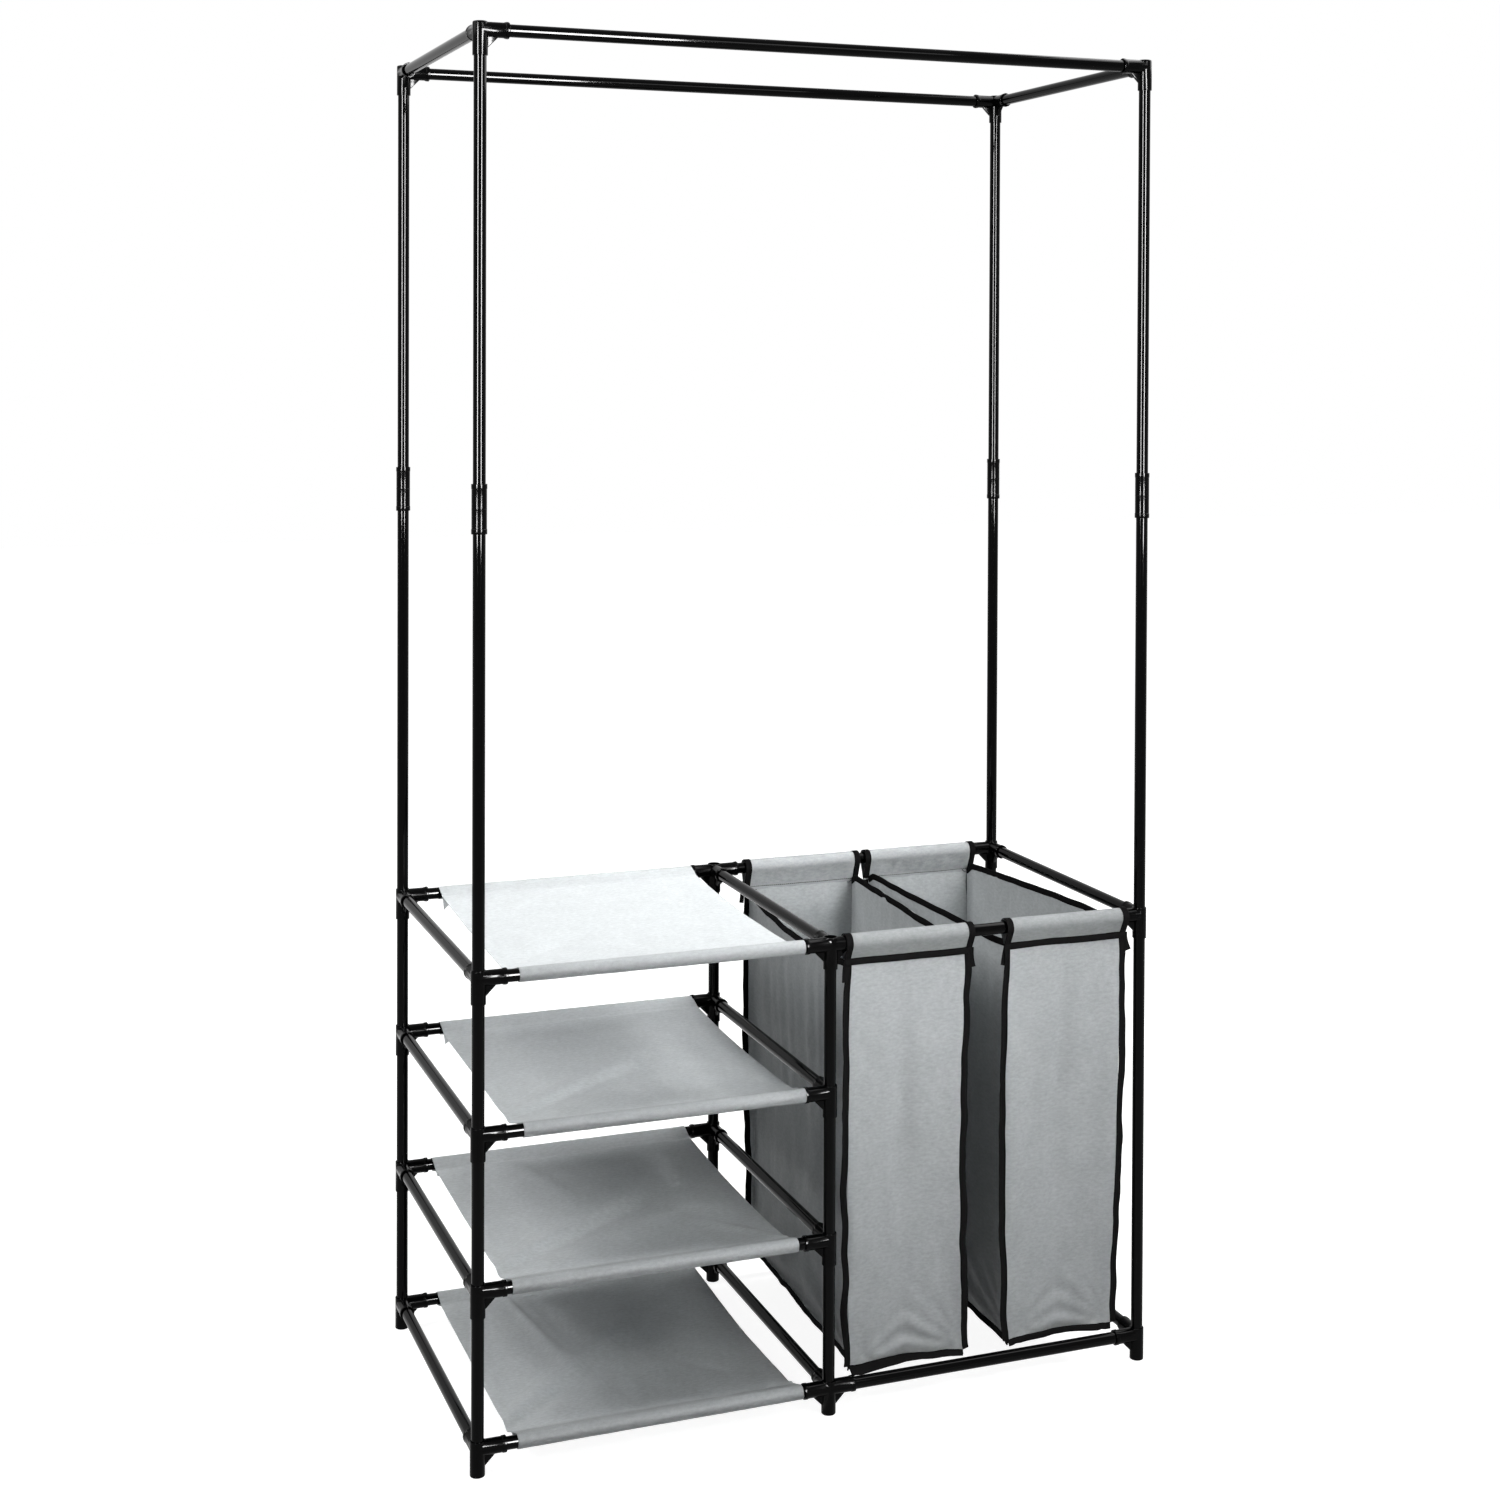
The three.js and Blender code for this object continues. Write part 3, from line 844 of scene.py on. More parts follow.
def cloth_piece(name, rows, body, nodes, thickness, material_name):
    """A cloth piece from rows of points, thickened evenly, with its flat width and length. Its map in metres
    holds how it lay flat."""
    across, down = len(rows[0]), len(rows)
    points = [p for row in rows for p in row]
    firsts = [j * across + i for j in range(down - 1) for i in range(across - 1)]
    mesh = bpy.data.meshes.new(name)
    mesh.from_pydata([tuple(p) for p in points], [], [[a, a + 1, a + across + 1, a + across] for a in firsts])
    flat_u = lengths_along(rows[0])
    flat_v = lengths_along([row[across // 2] for row in rows])
    layer = mesh.uv_layers.new(name="cloth")
    for loop in mesh.loops:
        j, i = divmod(loop.vertex_index, across)
        layer.data[loop.index].uv = (flat_u[i], flat_v[j])
    shade = mesh.attributes.new("over_rail", "FLOAT", "POINT")
    shade.data.foreach_set("value", [over_rail(p) for p in points])
    return thickened(name, mesh, body, nodes, thickness, material_name), flat_u[-1], flat_v[-1]


def thickened(name, mesh, body, nodes, thickness, material_name):
    """A thin cloth mesh as a closed piece of even thickness."""
    source = link(name + "_thin", mesh)
    modifier = source.modifiers.new("thickness", "SOLIDIFY")
    modifier.thickness = thickness
    modifier.offset = 0.0
    modifier.use_rim = True
    return settled(name, applied(source), body, material_name, SHARP_CLOTH, nodes)


def straight_run(start, end, steps):
    """Points (y, z) at each step of a straight run."""
    return [tuple(between(a, b, i / SEAM_STEPS) for a, b in zip(start, end)) for i in steps]


def loop_section(radius, seam, layers_apart, steps, lead_in):
    """The section of a hem round a rail at the origin, with its seam at +Y: (y, z) points from the loose edge
    below, round the rail's far side and over the top, to the seam."""
    turn = math.acos(radius / seam)
    points = [(seam + lead_in * (1 - i / LOOSE_STEPS), -layers_apart) for i in range(LOOSE_STEPS)]
    low = (radius * math.cos(-turn), radius * math.sin(-turn))
    points += straight_run((seam, -layers_apart), low, range(SEAM_STEPS))
    for i in range(steps + 1):
        angle = -turn - (2 * math.pi - 2 * turn) * i / steps
        points.append((radius * math.cos(angle), radius * math.sin(angle)))
    return points + straight_run(points[-1], (seam, 0.0), range(1, SEAM_STEPS + 1))


def crease_height(x, y, creases):
    """How far the creases lift the cloth at a place of the sheet, as a share of their height."""
    height = 0.0
    for start_x, start_y, angle, reach, width, strength in creases:
        along_x, along_y = math.cos(angle), math.sin(angle)
        away = (x - start_x) * along_x + (y - start_y) * along_y
        aside = (y - start_y) * along_x - (x - start_x) * along_y
        run = max(away, 0.0) / reach
        spread = width * (CREASE_START_WIDTH_SHARE + run)
        fade = (CREASE_START_SHARE + CREASE_RISE_SHARE * run) * max(0.0, 1.0 - run)
        if away < 0:
            fade *= math.exp(-((away / width) ** 2))
        height += strength * fade * math.exp(-((aside / spread) ** 2))
    return height


def sheet_lift(x, y, across, share, creases, seed):
    """How far ripples, creases and the sag between the sides lift a shelf's free sheet."""
    sizes = bpy.context.scene.wardrobe_shelves
    free = min(1.0, arched(share, RIPPLE_FADE_SHARE))
    hemmed = min(1.0, arched(share, CREASE_FADE_SHARE))
    ripple = 0.0
    for scale_x, scale_y, shift, height in SHEET_RIPPLES:
        ripple += wave(x * scale_x, y * scale_y, seed + shift) * height
    lift = sizes.crease * (free * ripple + hemmed * crease_height(across, share, creases))
    return lift - sizes.sag * CROSS_SAG_SHARE * free * (1 - (2 * across - 1) ** 2)


def shelf_rows(level, low_x, high_x, plan, seed):
    """The thin cloth of one shelf: a hem round each of its two rails, with the sagging sheet between them."""
    sizes = bpy.context.scene.wardrobe_shelves
    radius = sizes.hem_radius + sizes.thickness / 2
    apart = sizes.thickness * LAYERS_APART_SHARE
    front = loop_section(radius, sizes.hem_depth, apart, HEM_STEPS, sizes.hem_allowance)
    span = BACK_TO_FRONT - 2 * sizes.hem_depth
    section = [(y, z, 0.0) for y, z in front]
    for i in range(1, SHELF_STEPS):
        share = i / SHELF_STEPS
        section.append((sizes.hem_depth + share * span, arched(share, -sizes.sag), share))
    section += [(BACK_TO_FRONT - y, z, 1.0) for y, z in reversed(front)]
    width = high_x - low_x
    last = len(section) - 1
    rows = []
    for j, (y, z, share) in enumerate(section):
        in_hem = share in (0.0, 1.0)
        inset = arched(share, sizes.edge_draw)
        shift = between(plan["front_shift"], plan["rear_shift"], share)
        if not in_hem:
            shift += plan["sheet_skew"] * (1 - share) * min(1.0, SKEW_FADE_SHARE * share)
        loose = (last - j) / LOOSE_STEPS
        row = []
        for i in range(SHELF_COLUMNS + 1):
            across = i / SHELF_COLUMNS
            x = low_x + shift + inset + across * (width - 2 * inset)
            lift = 0.0 if in_hem else sheet_lift(x, y, across, share, plan["creases"], seed)
            puff = HEM_PUFF * wave(x * 45, z * 160, seed + 3 + share * 5) if in_hem else 0.0
            if loose < 1.0:
                hanging = max(0.0, 1.0 - across * width / sizes.flap_width) * plan["flap_share"]
                puff -= sizes.flap_drop * hanging * (1.0 - loose)
            row.append((x, ROWS["front"] + y, level + z + lift + puff))
        rows.append(row)
    return rows


def evenly(path, pitch):
    """Places every pitch along a path of points, as (place, direction) pairs."""
    places = []
    carried = pitch / 2
    for a, b in zip(path, path[1:]):
        a, b = Vector(a), Vector(b)
        step = (b - a).length
        while carried < step:
            places.append((a.lerp(b, carried / step), (b - a).normalized()))
            carried += pitch
        carried -= step
    return places


def stitches(name, paths, body, stitch, thread, material_name):
    """One piece of sewn stitches along several paths."""
    spots = [spot for path in paths for spot in evenly(path, stitch)]
    points = point_mesh(name, [place for place, _ in spots], along=[direction for _, direction in spots])
    values = {"Thread Radius": thread / 2, "Stitch Length": stitch * STITCH_SHARE}
    values["Material"] = material_of(material_name)
    mesh = grown(name, points, "stitches", values)
    return settled(name, mesh, body, material_name, SHARP_THREAD)


# Operators of the frame


# How far a rail's end stands off the floor of its socket
TUBE_PLAY = 0.3 * MM
SHELF_NUMBERS = (1, 2, 3, 4)
# The stops of each column that carry an upright tube
UPRIGHT_STOPS = {
    "left": ["foot", "shelf_2_connector", "shelf_3_connector", "shelf_4_connector", "sleeve"],
    "middle": ["foot", "shelf_2_connector", "shelf_3_connector"],
    "right": ["foot", "bag_connector", "sleeve"],
}


class WARDROBE_OT_tubes(bpy.types.Operator):
    """Builds every steel tube of the frame."""

    bl_idname = "wardrobe.tubes"
    bl_label = "Steel tubes"

    def execute(self, context):
        sizes = context.scene.wardrobe_connectors
        end = sizes.side_reach - sizes.plug_depth + TUBE_PLAY

        def across(row, level, first, last):
            return (COLUMNS[first] + end, ROWS[row], level), (COLUMNS[last] - end, ROWS[row], level)

        def rearward(column, level):
            return (COLUMNS[column], ROWS["front"] + end, level), (COLUMNS[column], ROWS["rear"] - end, level)

        for row in ROWS:
            spans = [across(row, level, "left", "middle") for level in SHELF_LEVELS]
            tubes(f"{row}_shelf_rails", spans, [f"{row}_shelf_{i}_rail" for i in SHELF_NUMBERS])
            spans = [across(row, level, "middle", "right") for level in (BASE_LEVEL, BAG_LEVEL)]
            tubes(f"{row}_bag_bay_rails", spans, [f"{row}_base_rail", f"{row}_bag_rail"])
            tubes(f"{row}_hanging_rail", [across(row, TOP_LEVEL, "left", "right")], [f"{row}_top_rail"])
        for column in ("left", "middle"):
            spans = [rearward(column, level) for level in SHELF_LEVELS]
            tubes(f"{column}_side_rails", spans, [f"{column}_side_rail_{i}" for i in SHELF_NUMBERS])
        spans = [rearward("right", level) for level in (BASE_LEVEL, BAG_LEVEL)]
        tubes("right_side_rails", spans, ["right_base_side_rail", "right_bag_side_rail"])
        spans = [rearward(column, TOP_LEVEL) for column in ("left", "right")]
        tubes("top_side_rails", spans, ["left_top_side_rail", "right_top_side_rail"])
        for column, stops in UPRIGHT_STOPS.items():
            spans, replaced = [], []
            for row in ROWS:
                for stop in stops:
                    name = f"{row}_{column}_{stop}_with_tube"
                    low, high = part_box(name)
                    start = post_tube_start(name, low)
                    spans.append(((COLUMNS[column], ROWS[row], start), (COLUMNS[column], ROWS[row], high.z)))
                    replaced.append(name)
            tubes(f"{column}_post_tubes", spans, replaced)
        return {"FINISHED"}


def post_tube_start(name, low):
    """The height at which the tube that stands in a stop begins."""
    sizes = bpy.context.scene.wardrobe_connectors
    if "sleeve" in name:
        return low.z + sizes.sleeve_length - sizes.plug_depth
    axis = BASE_LEVEL if "foot" in name else low.z + sizes.down_reach
    return axis + sizes.top_rise - sizes.open_top_depth


class WARDROBE_OT_connectors(bpy.types.Operator):
    """Builds the moulded connectors and the sleeves between the upper tubes."""

    bl_idname = "wardrobe.connectors"
    bl_label = "Connectors and sleeves"

    def execute(self, context):
        quarter = math.pi / 2
        corners = {
            ("front", "left"): 0.0,
            ("front", "right"): quarter,
            ("rear", "right"): 2 * quarter,
            ("rear", "left"): 3 * quarter,
        }

        def at(row, column, level):
            return (COLUMNS[column], ROWS[row], level)

        def corner_places(level):
            return [(at(row, column, level), turn) for (row, column), turn in corners.items()]

        middle_turns = {"front": 0.0, "rear": 2 * quarter}
        placed_mouldings(
            "corner_feet",
            connector((0, 90), foot=True),
            corner_places(BASE_LEVEL),
            [f"{row}_{column}_foot_with_tube" for row, column in corners],
        )
        placed_mouldings(
            "middle_feet",
            connector((0, 90, 180), foot=True),
            [(at(row, "middle", BASE_LEVEL), turn) for row, turn in middle_turns.items()],
            [f"{row}_middle_foot_with_tube" for row in middle_turns],
        )
        places, nodes = [], []
        for row in ROWS:
            for i in SHELF_NUMBERS[1:]:
                places.append((at(row, "left", SHELF_LEVELS[i - 1]), corners[(row, "left")]))
                nodes.append(f"{row}_left_shelf_{i}_connector_with_tube")
            for i in SHELF_NUMBERS[1:3]:
                places.append((at(row, "middle", SHELF_LEVELS[i - 1]), corners[(row, "right")]))
                nodes.append(f"{row}_middle_shelf_{i}_connector_with_tube")
            places.append((at(row, "right", BAG_LEVEL), corners[(row, "right")]))
            nodes.append(f"{row}_right_bag_connector_with_tube")
        placed_mouldings("post_connectors", connector((0, 90)), places, nodes)
        placed_mouldings(
            "middle_top_connectors",
            connector((0, 90, 180)),
            [(at(row, "middle", BAG_LEVEL), turn) for row, turn in middle_turns.items()],
            [f"{row}_middle_top_connector" for row in middle_turns],
        )
        placed_mouldings(
            "top_corner_connectors",
            connector((0, 90), closed_top=True),
            corner_places(TOP_LEVEL),
            [f"{row}_{column}_top_corner" for row, column in corners],
        )
        sizes = context.scene.wardrobe_connectors
        places, nodes = [], []
        for row, column in corners:
            name = f"{row}_{column}_sleeve_with_tube"
            low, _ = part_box(name)
            places.append((at(row, column, low.z + sizes.sleeve_length / 2), 0.0))
            nodes.append(name)
        placed_mouldings("post_sleeves", sleeve_mesh(), places, nodes)
        return {"FINISHED"}


# How each shelf's cloth lies: its creases as (start across, start back, angle, reach, width, strength), how
# far its hems and its sheet have slid along the rails, in metres, and how much of the rear flap hangs down
SHELF_PLANS = {
    1: {
        "creases": [
            (0.0, 0.02, 0.74, 1.05, 0.055, -1.0),
            (0.0, 0.08, 0.77, 1.05, 0.055, 0.9),
            (0.24, 1.0, -1.43, 0.90, 0.028, 0.9),
            (0.33, 1.0, -1.40, 0.90, 0.042, -0.8),
            (0.46, 0.0, 1.60, 0.45, 0.028, -0.6),
            (0.80, 0.2, 2.20, 0.60, 0.045, -0.6),
        ],
        "front_shift": -0.0015,
        "rear_shift": -0.001,
        "sheet_skew": -0.004,
        "flap_share": 0.0,
    },
    2: {
        "creases": [
            (0.0, 0.05, 0.60, 1.05, 0.050, -0.8),
            (0.0, 0.11, 0.63, 1.05, 0.052, 0.7),
            (0.3, 1.0, -1.30, 0.60, 0.040, 0.5),
            (1.0, 0.0, 2.30, 0.45, 0.025, 0.6),
        ],
        "front_shift": -0.009,
        "rear_shift": -0.009,
        "sheet_skew": -0.005,
        "flap_share": 0.3,
    },
    3: {
        "creases": [
            (0.0, 0.04, 0.62, 0.95, 0.050, -0.5),
            (0.0, 0.10, 0.65, 0.95, 0.052, 0.45),
            (0.6, 0.0, 1.50, 0.60, 0.040, 0.3),
        ],
        "front_shift": 0.005,
        "rear_shift": 0.002,
        "sheet_skew": -0.008,
        "flap_share": 0.8,
    },
    4: {
        "creases": [
            (0.0, 0.05, 0.70, 0.60, 0.045, -0.35),
            (0.3, 0.0, 1.20, 0.50, 0.060, 0.30),
            (0.7, 0.0, 1.30, 0.60, 0.050, -0.25),
        ],
        "front_shift": -0.001,
        "rear_shift": 0.0,
        "sheet_skew": -0.011,
        "flap_share": 1.0,
    },
}


class WARDROBE_OT_shelves(bpy.types.Operator):
    """Builds the cloth shelves with their hems and stitches."""

    bl_idname = "wardrobe.shelves"
    bl_label = "Cloth shelves"

    def execute(self, context):
        sizes = context.scene.wardrobe_shelves
        for i, level in enumerate(SHELF_LEVELS, start=1):
            node = f"shelf_{i}_cloth"
            low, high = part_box(node)
            rows = shelf_rows(level, low.x, high.x, SHELF_PLANS[i], 11.0 * i)
            name = f"shelf_{i}_sheet"
            thick = sizes.thickness
            piece, width, length_back = cloth_piece(name, rows, FRAME_BODY, [node], thick, "shelf_cloth")
            front = [row for row in rows if abs(row[0][1] - ROWS["front"] - sizes.hem_depth) < SAME_PLACE][-1]
            rear = [row for row in rows if abs(ROWS["rear"] - sizes.hem_depth - row[0][1]) < SAME_PLACE][0]
            lift = sizes.thickness / 2 + sizes.thread * SHELF_STITCH_RISE_SHARE
            paths = [[(x, y, z + lift) for x, y, z in seam] for seam in (front, rear)]
            name = f"shelf_{i}_stitches"
            sewn = stitches(name, paths, FRAME_BODY, sizes.stitch, sizes.thread, "grey_thread")
        return {"FINISHED"}


# Laundry bags


# Lengths of the bags' cloth in metres: how far the seams lie below the rails, folds, creases and waves
SEAM_DROPS = {"front": 0.0235, "rear": 0.0295}
SIDE_TOP_LEAD = 0.016
FOLD_DEPTH = 0.0034
CENTRE_FOLD = -0.0042
CENTRE_FOLD_WIDTH = 0.05
CORNER_CREASE_REACH = 0.11
LOOSE_END = 0.011
CRUMPLE_DEPTH = 0.0009
CRUMPLE_EDGE = 0.025
TAPE_DRIFT = 0.006
END_TAPE_SHARE = 1.045
MOST_SHIFT = 0.012
HANG_FRAMES = 24
BAG_STEP = 7.0 * MM
TOP_LINE_MARGIN = 0.2 * MM
BAG_WAVE = 0.0016
FLOOR_WAVES = {"edge": 0.003, "sag": 0.002, "middle": 0.0015}
# The walls' folds as (waves a metre by x, by y, by z, seed shift, strength), and how they leave the seams
FOLDS = ((21, 13, 2.2, 0, 1.0), (44, 31, 8.0, 9, 0.6))
FOLD_POWER = 0.6
FOLD_LEAD_SHARE = 5
KICK_POWER = 4
CRUMPLES = ((48, 30, 1.0), (95, 80, 0.5))
FAN_MARGIN = 4 * MM
FANS = 21
# The settings of the cloth simulation. Its cloth grows a little, so that it hangs loose
HANG_SETTINGS = {
    "quality": 6,
    "mass": 0.12,
    "air_damping": 2.0,
    "tension_stiffness": 30.0,
    "compression_stiffness": 30.0,
    "shear_stiffness": 12.0,
    "bending_stiffness": 1.5,
    "vertex_group_mass": "pins",
    "shrink_min": -0.003,
}
# The sleeves: steps round the rail and along it, loose flap, distance of the layers, slack and creases
SLEEVE_STEPS = 30
SLEEVE_COLUMNS = 64
SLEEVE_FLAP = 4 * MM
SLEEVE_LAYERS_SHARE = 1.2
SLEEVE_SLACK_SHARES = {"front": 1.2, "rear": 3.6}
SLEEVE_CREASE = 0.0008
SLEEVE_CREASES = ((38, 40, 30, 0, 1.0), (85, -70, 60, 4, 0.5))
SLEEVE_LIFT_CENTRE = 0.003
SLEEVE_WAVE = 0.00025
SLEEVE_FADE_DEPTH = 0.012
SLEEVE_FADE_SHARE = 2.5
# The binding tapes: their sizes and how far they wander
TAPE_OVERHANG = 0.0005
TAPE_ROUNDING_SHARE = 0.8
TAPE_SEED_STEP = 3.1
TAPE_SWINGS = ((0, 0.11, 0.3, 1.0), (5, 0.4, 0.8, 0.5))
END_TAPE_THICKNESS = 1.8 * MM
SEAM_TAPE_THICKNESS = 2.0 * MM
SEAM_TAPE_INSET = 1 * MM
SEAM_TAPE_OUT = 1.6 * MM
SEAM_TAPE_UP = 2.5 * MM
SEAM_TAPE_STEPS = 32
TAPE_TILT_SHARE = 0.12
HEM_TAPE_SHARE = 0.85
HEM_TAPE_TILT_SHARE = 0.25
WOBBLE_SHARES = {"corner": 0.45, "hem": 0.3, "top": 0.12}
# The loose tails of tape at the ends of the seams
TAIL_STEPS = 8
TAIL_WIDTH = 7.5 * MM
TAIL_THICKNESS = 1.3 * MM
TAIL_START = (1.5 * MM, 3.5 * MM, 2 * MM)
TAIL_SWING = 2.0 * MM
TAIL_TURN_SHARE = 0.35
# The dark stitches below the sleeves and their loose ends
SEAM_STITCH_STEPS = 39
SEAM_STITCH_WAVE = 0.0008
SEAM_STITCH_RISE_SHARE = 0.3
CORNER_STITCH_RISE_SHARE = 0.25
LOOSE_END_STEPS = 6
LOOSE_END_START = 1.0 * MM
LOOSE_END_DEPTH = 2.0 * MM
LOOSE_END_CURL_SHARE = 0.45
# How each bag hangs, in metres: how far its walls sway and kick out at their left and right ends, how far its
# bottom lies above the base rails, the heights of its side tops at front, centre and rear, its tape tails as
# (row, side, reach, lean), and the tape below its front as (reach, tilt, taper)
BAG_PLANS = {
    "left": {
        "seed": 3.0,
        "sways": {"front": (-0.002, -0.005), "rear": (-0.003, 0.0)},
        "kicks": {"front": (0.002, 0.010), "rear": (-0.009, 0.0)},
        "bottom_rise": 0.0185,
        "side_tops": {"left": (-0.026, -0.046, -0.033), "right": (-0.020, -0.020, -0.022)},
        "tails": [("front", 1.0, 0.026, 0.003), ("front", -1.0, 0.030, 0.002), ("rear", -1.0, 0.032, 0.004)],
        "front_hem": (0.0145, 1.05, 0.55),
    },
    "right": {
        "seed": 29.0,
        "sways": {"front": (-0.007, 0.003), "rear": (0.0, 0.002)},
        "kicks": {"front": (-0.004, 0.002), "rear": (0.0, 0.0)},
        "bottom_rise": 0.0195,
        "side_tops": {"left": (-0.021, -0.023, -0.021), "right": (-0.002, -0.009, -0.020)},
        "tails": [("front", 1.0, 0.024, 0.006), ("front", -1.0, 0.028, 0.005)],
        "front_hem": (0.0085, 0.25, 1.0),
    },
}
# The way out from each panel, as (x, y)
OUTWARD = {"front": (0, -1), "rear": (0, 1), "left": (-1, 0), "right": (1, 0)}


def sleeve_ends(node):
    """Where a bag's sleeves end: (left, right) at the front and at the rear."""
    points = [v.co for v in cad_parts[node].data.vertices]
    ends = {}
    for row, y in ROWS.items():
        found = [p.x for p in points if abs(p.y - y) < TOP_LINE_MARGIN and p.z > BAG_LEVEL]
        ends[row] = (min(found), max(found))
    return ends


class BagBody:
    """The thin cloth body of one bag: four panels and a bottom that share their seams, as points in rows."""

    def __init__(self, ends, side_tops, bottom, seed, sways, kicks):
        sizes = bpy.context.scene.wardrobe_bags
        self.ends = ends
        self.inset = sizes.seam_flange
        self.side_tops = side_tops
        self.bottom = bottom
        self.seed = seed
        self.sways = sways
        self.kicks = kicks
        width = ends["front"][1] - ends["front"][0] - 2 * self.inset
        self.height = BAG_LEVEL - SEAM_DROPS["front"] - bottom
        self.across = round(width / BAG_STEP)
        self.deep = round(BACK_TO_FRONT / BAG_STEP)
        self.high = round(self.height / BAG_STEP)
        self.around = 2 * (self.across + self.deep)
        turns = [0, self.across, self.across + self.deep, 2 * self.across + self.deep, self.around]
        self.corners = dict(zip(("front_left", "front_right", "rear_right", "rear_left"), turns))
        self.runs = dict(zip(("front", "right", "rear", "left"), zip(turns, turns[1:])))
        self.points = []
        for j in range(self.high + 1):
            for i in range(self.around):
                self.points.append(self.place(i, j / self.high))
        self.faces = {}
        self.maps = {}
        for panel, (first, last) in self.runs.items():
            self.add_wall(panel, first, last)
        self.add_bottom()

    def column(self, i):
        """The panel, the share across and the share of the depth of a column of the walls."""
        i %= self.around
        if i <= self.across:
            return "front", i / self.across, 0.0
        i -= self.across
        if i <= self.deep:
            return "right", 1.0, i / self.deep
        i -= self.deep
        if i <= self.across:
            return "rear", 1.0 - i / self.across, 1.0
        i -= self.across
        return "left", 0.0, 1.0 - i / self.deep

    def side_x(self, side, depth_share):
        """The place across of a side wall at a share of the depth."""
        at = 0 if side == "left" else 1
        inward = self.inset if side == "left" else -self.inset
        return between(self.ends["front"][at], self.ends["rear"][at], depth_share) + inward

    def lean(self, across, depth_share, down):
        """How far a place hangs to the side: its walls sway halfway down and kick out at the floor."""
        sway, kick = (
            between(between(*lean["front"], across), between(*lean["rear"], across), depth_share)
            for lean in (self.sways, self.kicks)
        )
        return sway * math.sin(math.pi * down) + kick * down**KICK_POWER

    def top(self, panel, depth_share):
        """The height of the panel's top edge."""
        ends = [BAG_LEVEL - drop for drop in SEAM_DROPS.values()]
        if panel in ROWS or depth_share in (0.0, 1.0):
            return ends[round(depth_share)]
        front, centre, rear = (BAG_LEVEL + drop for drop in self.side_tops[panel])
        d = depth_share
        curve = front * (1 - d) * (1 - 2 * d) + centre * 4 * d * (1 - d) + rear * d * (2 * d - 1)
        blend = min(1.0, d * BACK_TO_FRONT / SIDE_TOP_LEAD, (1 - d) * BACK_TO_FRONT / SIDE_TOP_LEAD)
        curve += BAG_WAVE * wave(d * 11.0, self.seed, 0.5)
        return between(ends[round(d)], curve, blend)

    def place(self, i, down):
        """A point of a wall, with the soft folds that the cloth starts from."""
        panel, across, depth_share = self.column(i)
        left, right = self.side_x("left", depth_share), self.side_x("right", depth_share)
        x = between(left, right, across) + self.lean(across, depth_share, down)
        y = between(ROWS["front"], ROWS["rear"], depth_share)
        low = self.bottom + FLOOR_WAVES["edge"] * wave(x * 9, y * 6, self.seed + 40)
        z = between(self.top(panel, depth_share), low, down)
        run, length_across = (across, right - left) if panel in ROWS else (depth_share, BACK_TO_FRONT)
        free = 0.0 if run in (0.0, 1.0) else arched(run, 1.0) ** FOLD_POWER * min(1.0, FOLD_LEAD_SHARE * down)
        fold = 0.0
        for by_x, by_y, by_z, shift, strength in FOLDS:
            fold += FOLD_DEPTH * strength * wave(x * by_x + y * by_y, z * by_z, self.seed + shift)
        if panel in ROWS:
            fold += CENTRE_FOLD * max(0.0, 1 - abs(across - 0.5) * (right - left) / CENTRE_FOLD_WIDTH)
        near_floor = max(0.0, 1 - (z - self.bottom) / CORNER_CREASE_REACH)
        fan = math.atan2(z - self.bottom + FAN_MARGIN, min(run, 1 - run) * length_across + FAN_MARGIN)
        fold += FOLD_DEPTH * near_floor * math.sin(fan * FANS + self.seed)
        out_x, out_y = OUTWARD[panel]
        return Vector((x + out_x * fold * free, y + out_y * fold * free, z))

    def number(self, i, j):
        """The number of a wall point."""
        return j * self.around + i % self.around

    def add_wall(self, panel, first, last):
        """The faces of a wall, with where each corner lay in the flat cloth."""
        faces, maps = [], []
        for j in range(self.high):
            for i in range(first, last):
                places = [(i, j), (i, j + 1), (i + 1, j + 1), (i + 1, j)]
                faces.append([self.number(a, b) for a, b in places])
                maps.append([((a - first) * BAG_STEP, -b * BAG_STEP) for a, b in places])
        self.faces[panel], self.maps[panel] = faces, maps

    def add_bottom(self):
        """The bottom panel, whose edge points are those of the walls' last row."""
        numbers = {}
        last = self.high
        for k in range(self.deep + 1):
            for i in range(self.across + 1):
                if k == 0:
                    numbers[i, k] = self.number(i, last)
                elif k == self.deep:
                    numbers[i, k] = self.number(2 * self.across + self.deep - i, last)
                elif i == 0:
                    numbers[i, k] = self.number(self.around - k, last)
                elif i == self.across:
                    numbers[i, k] = self.number(self.across + k, last)
                else:
                    left = self.points[self.number(self.around - k, last)]
                    right = self.points[self.number(self.across + k, last)]
                    point = left.lerp(right, i / self.across)
                    point.z -= FLOOR_WAVES["sag"] * (1 - (2 * i / self.across - 1) ** 2)
                    point.z += FLOOR_WAVES["middle"] * wave(point.x * 20, point.y * 9, self.seed + 70)
                    numbers[i, k] = len(self.points)
                    self.points.append(point)
        faces, maps = [], []
        for k in range(self.deep):
            for i in range(self.across):
                places = [(i, k), (i, k + 1), (i + 1, k + 1), (i + 1, k)]
                faces.append([numbers[p] for p in places])
                maps.append([(a * BAG_STEP, b * BAG_STEP) for a, b in places])
        self.faces["bottom"], self.maps["bottom"] = faces, maps

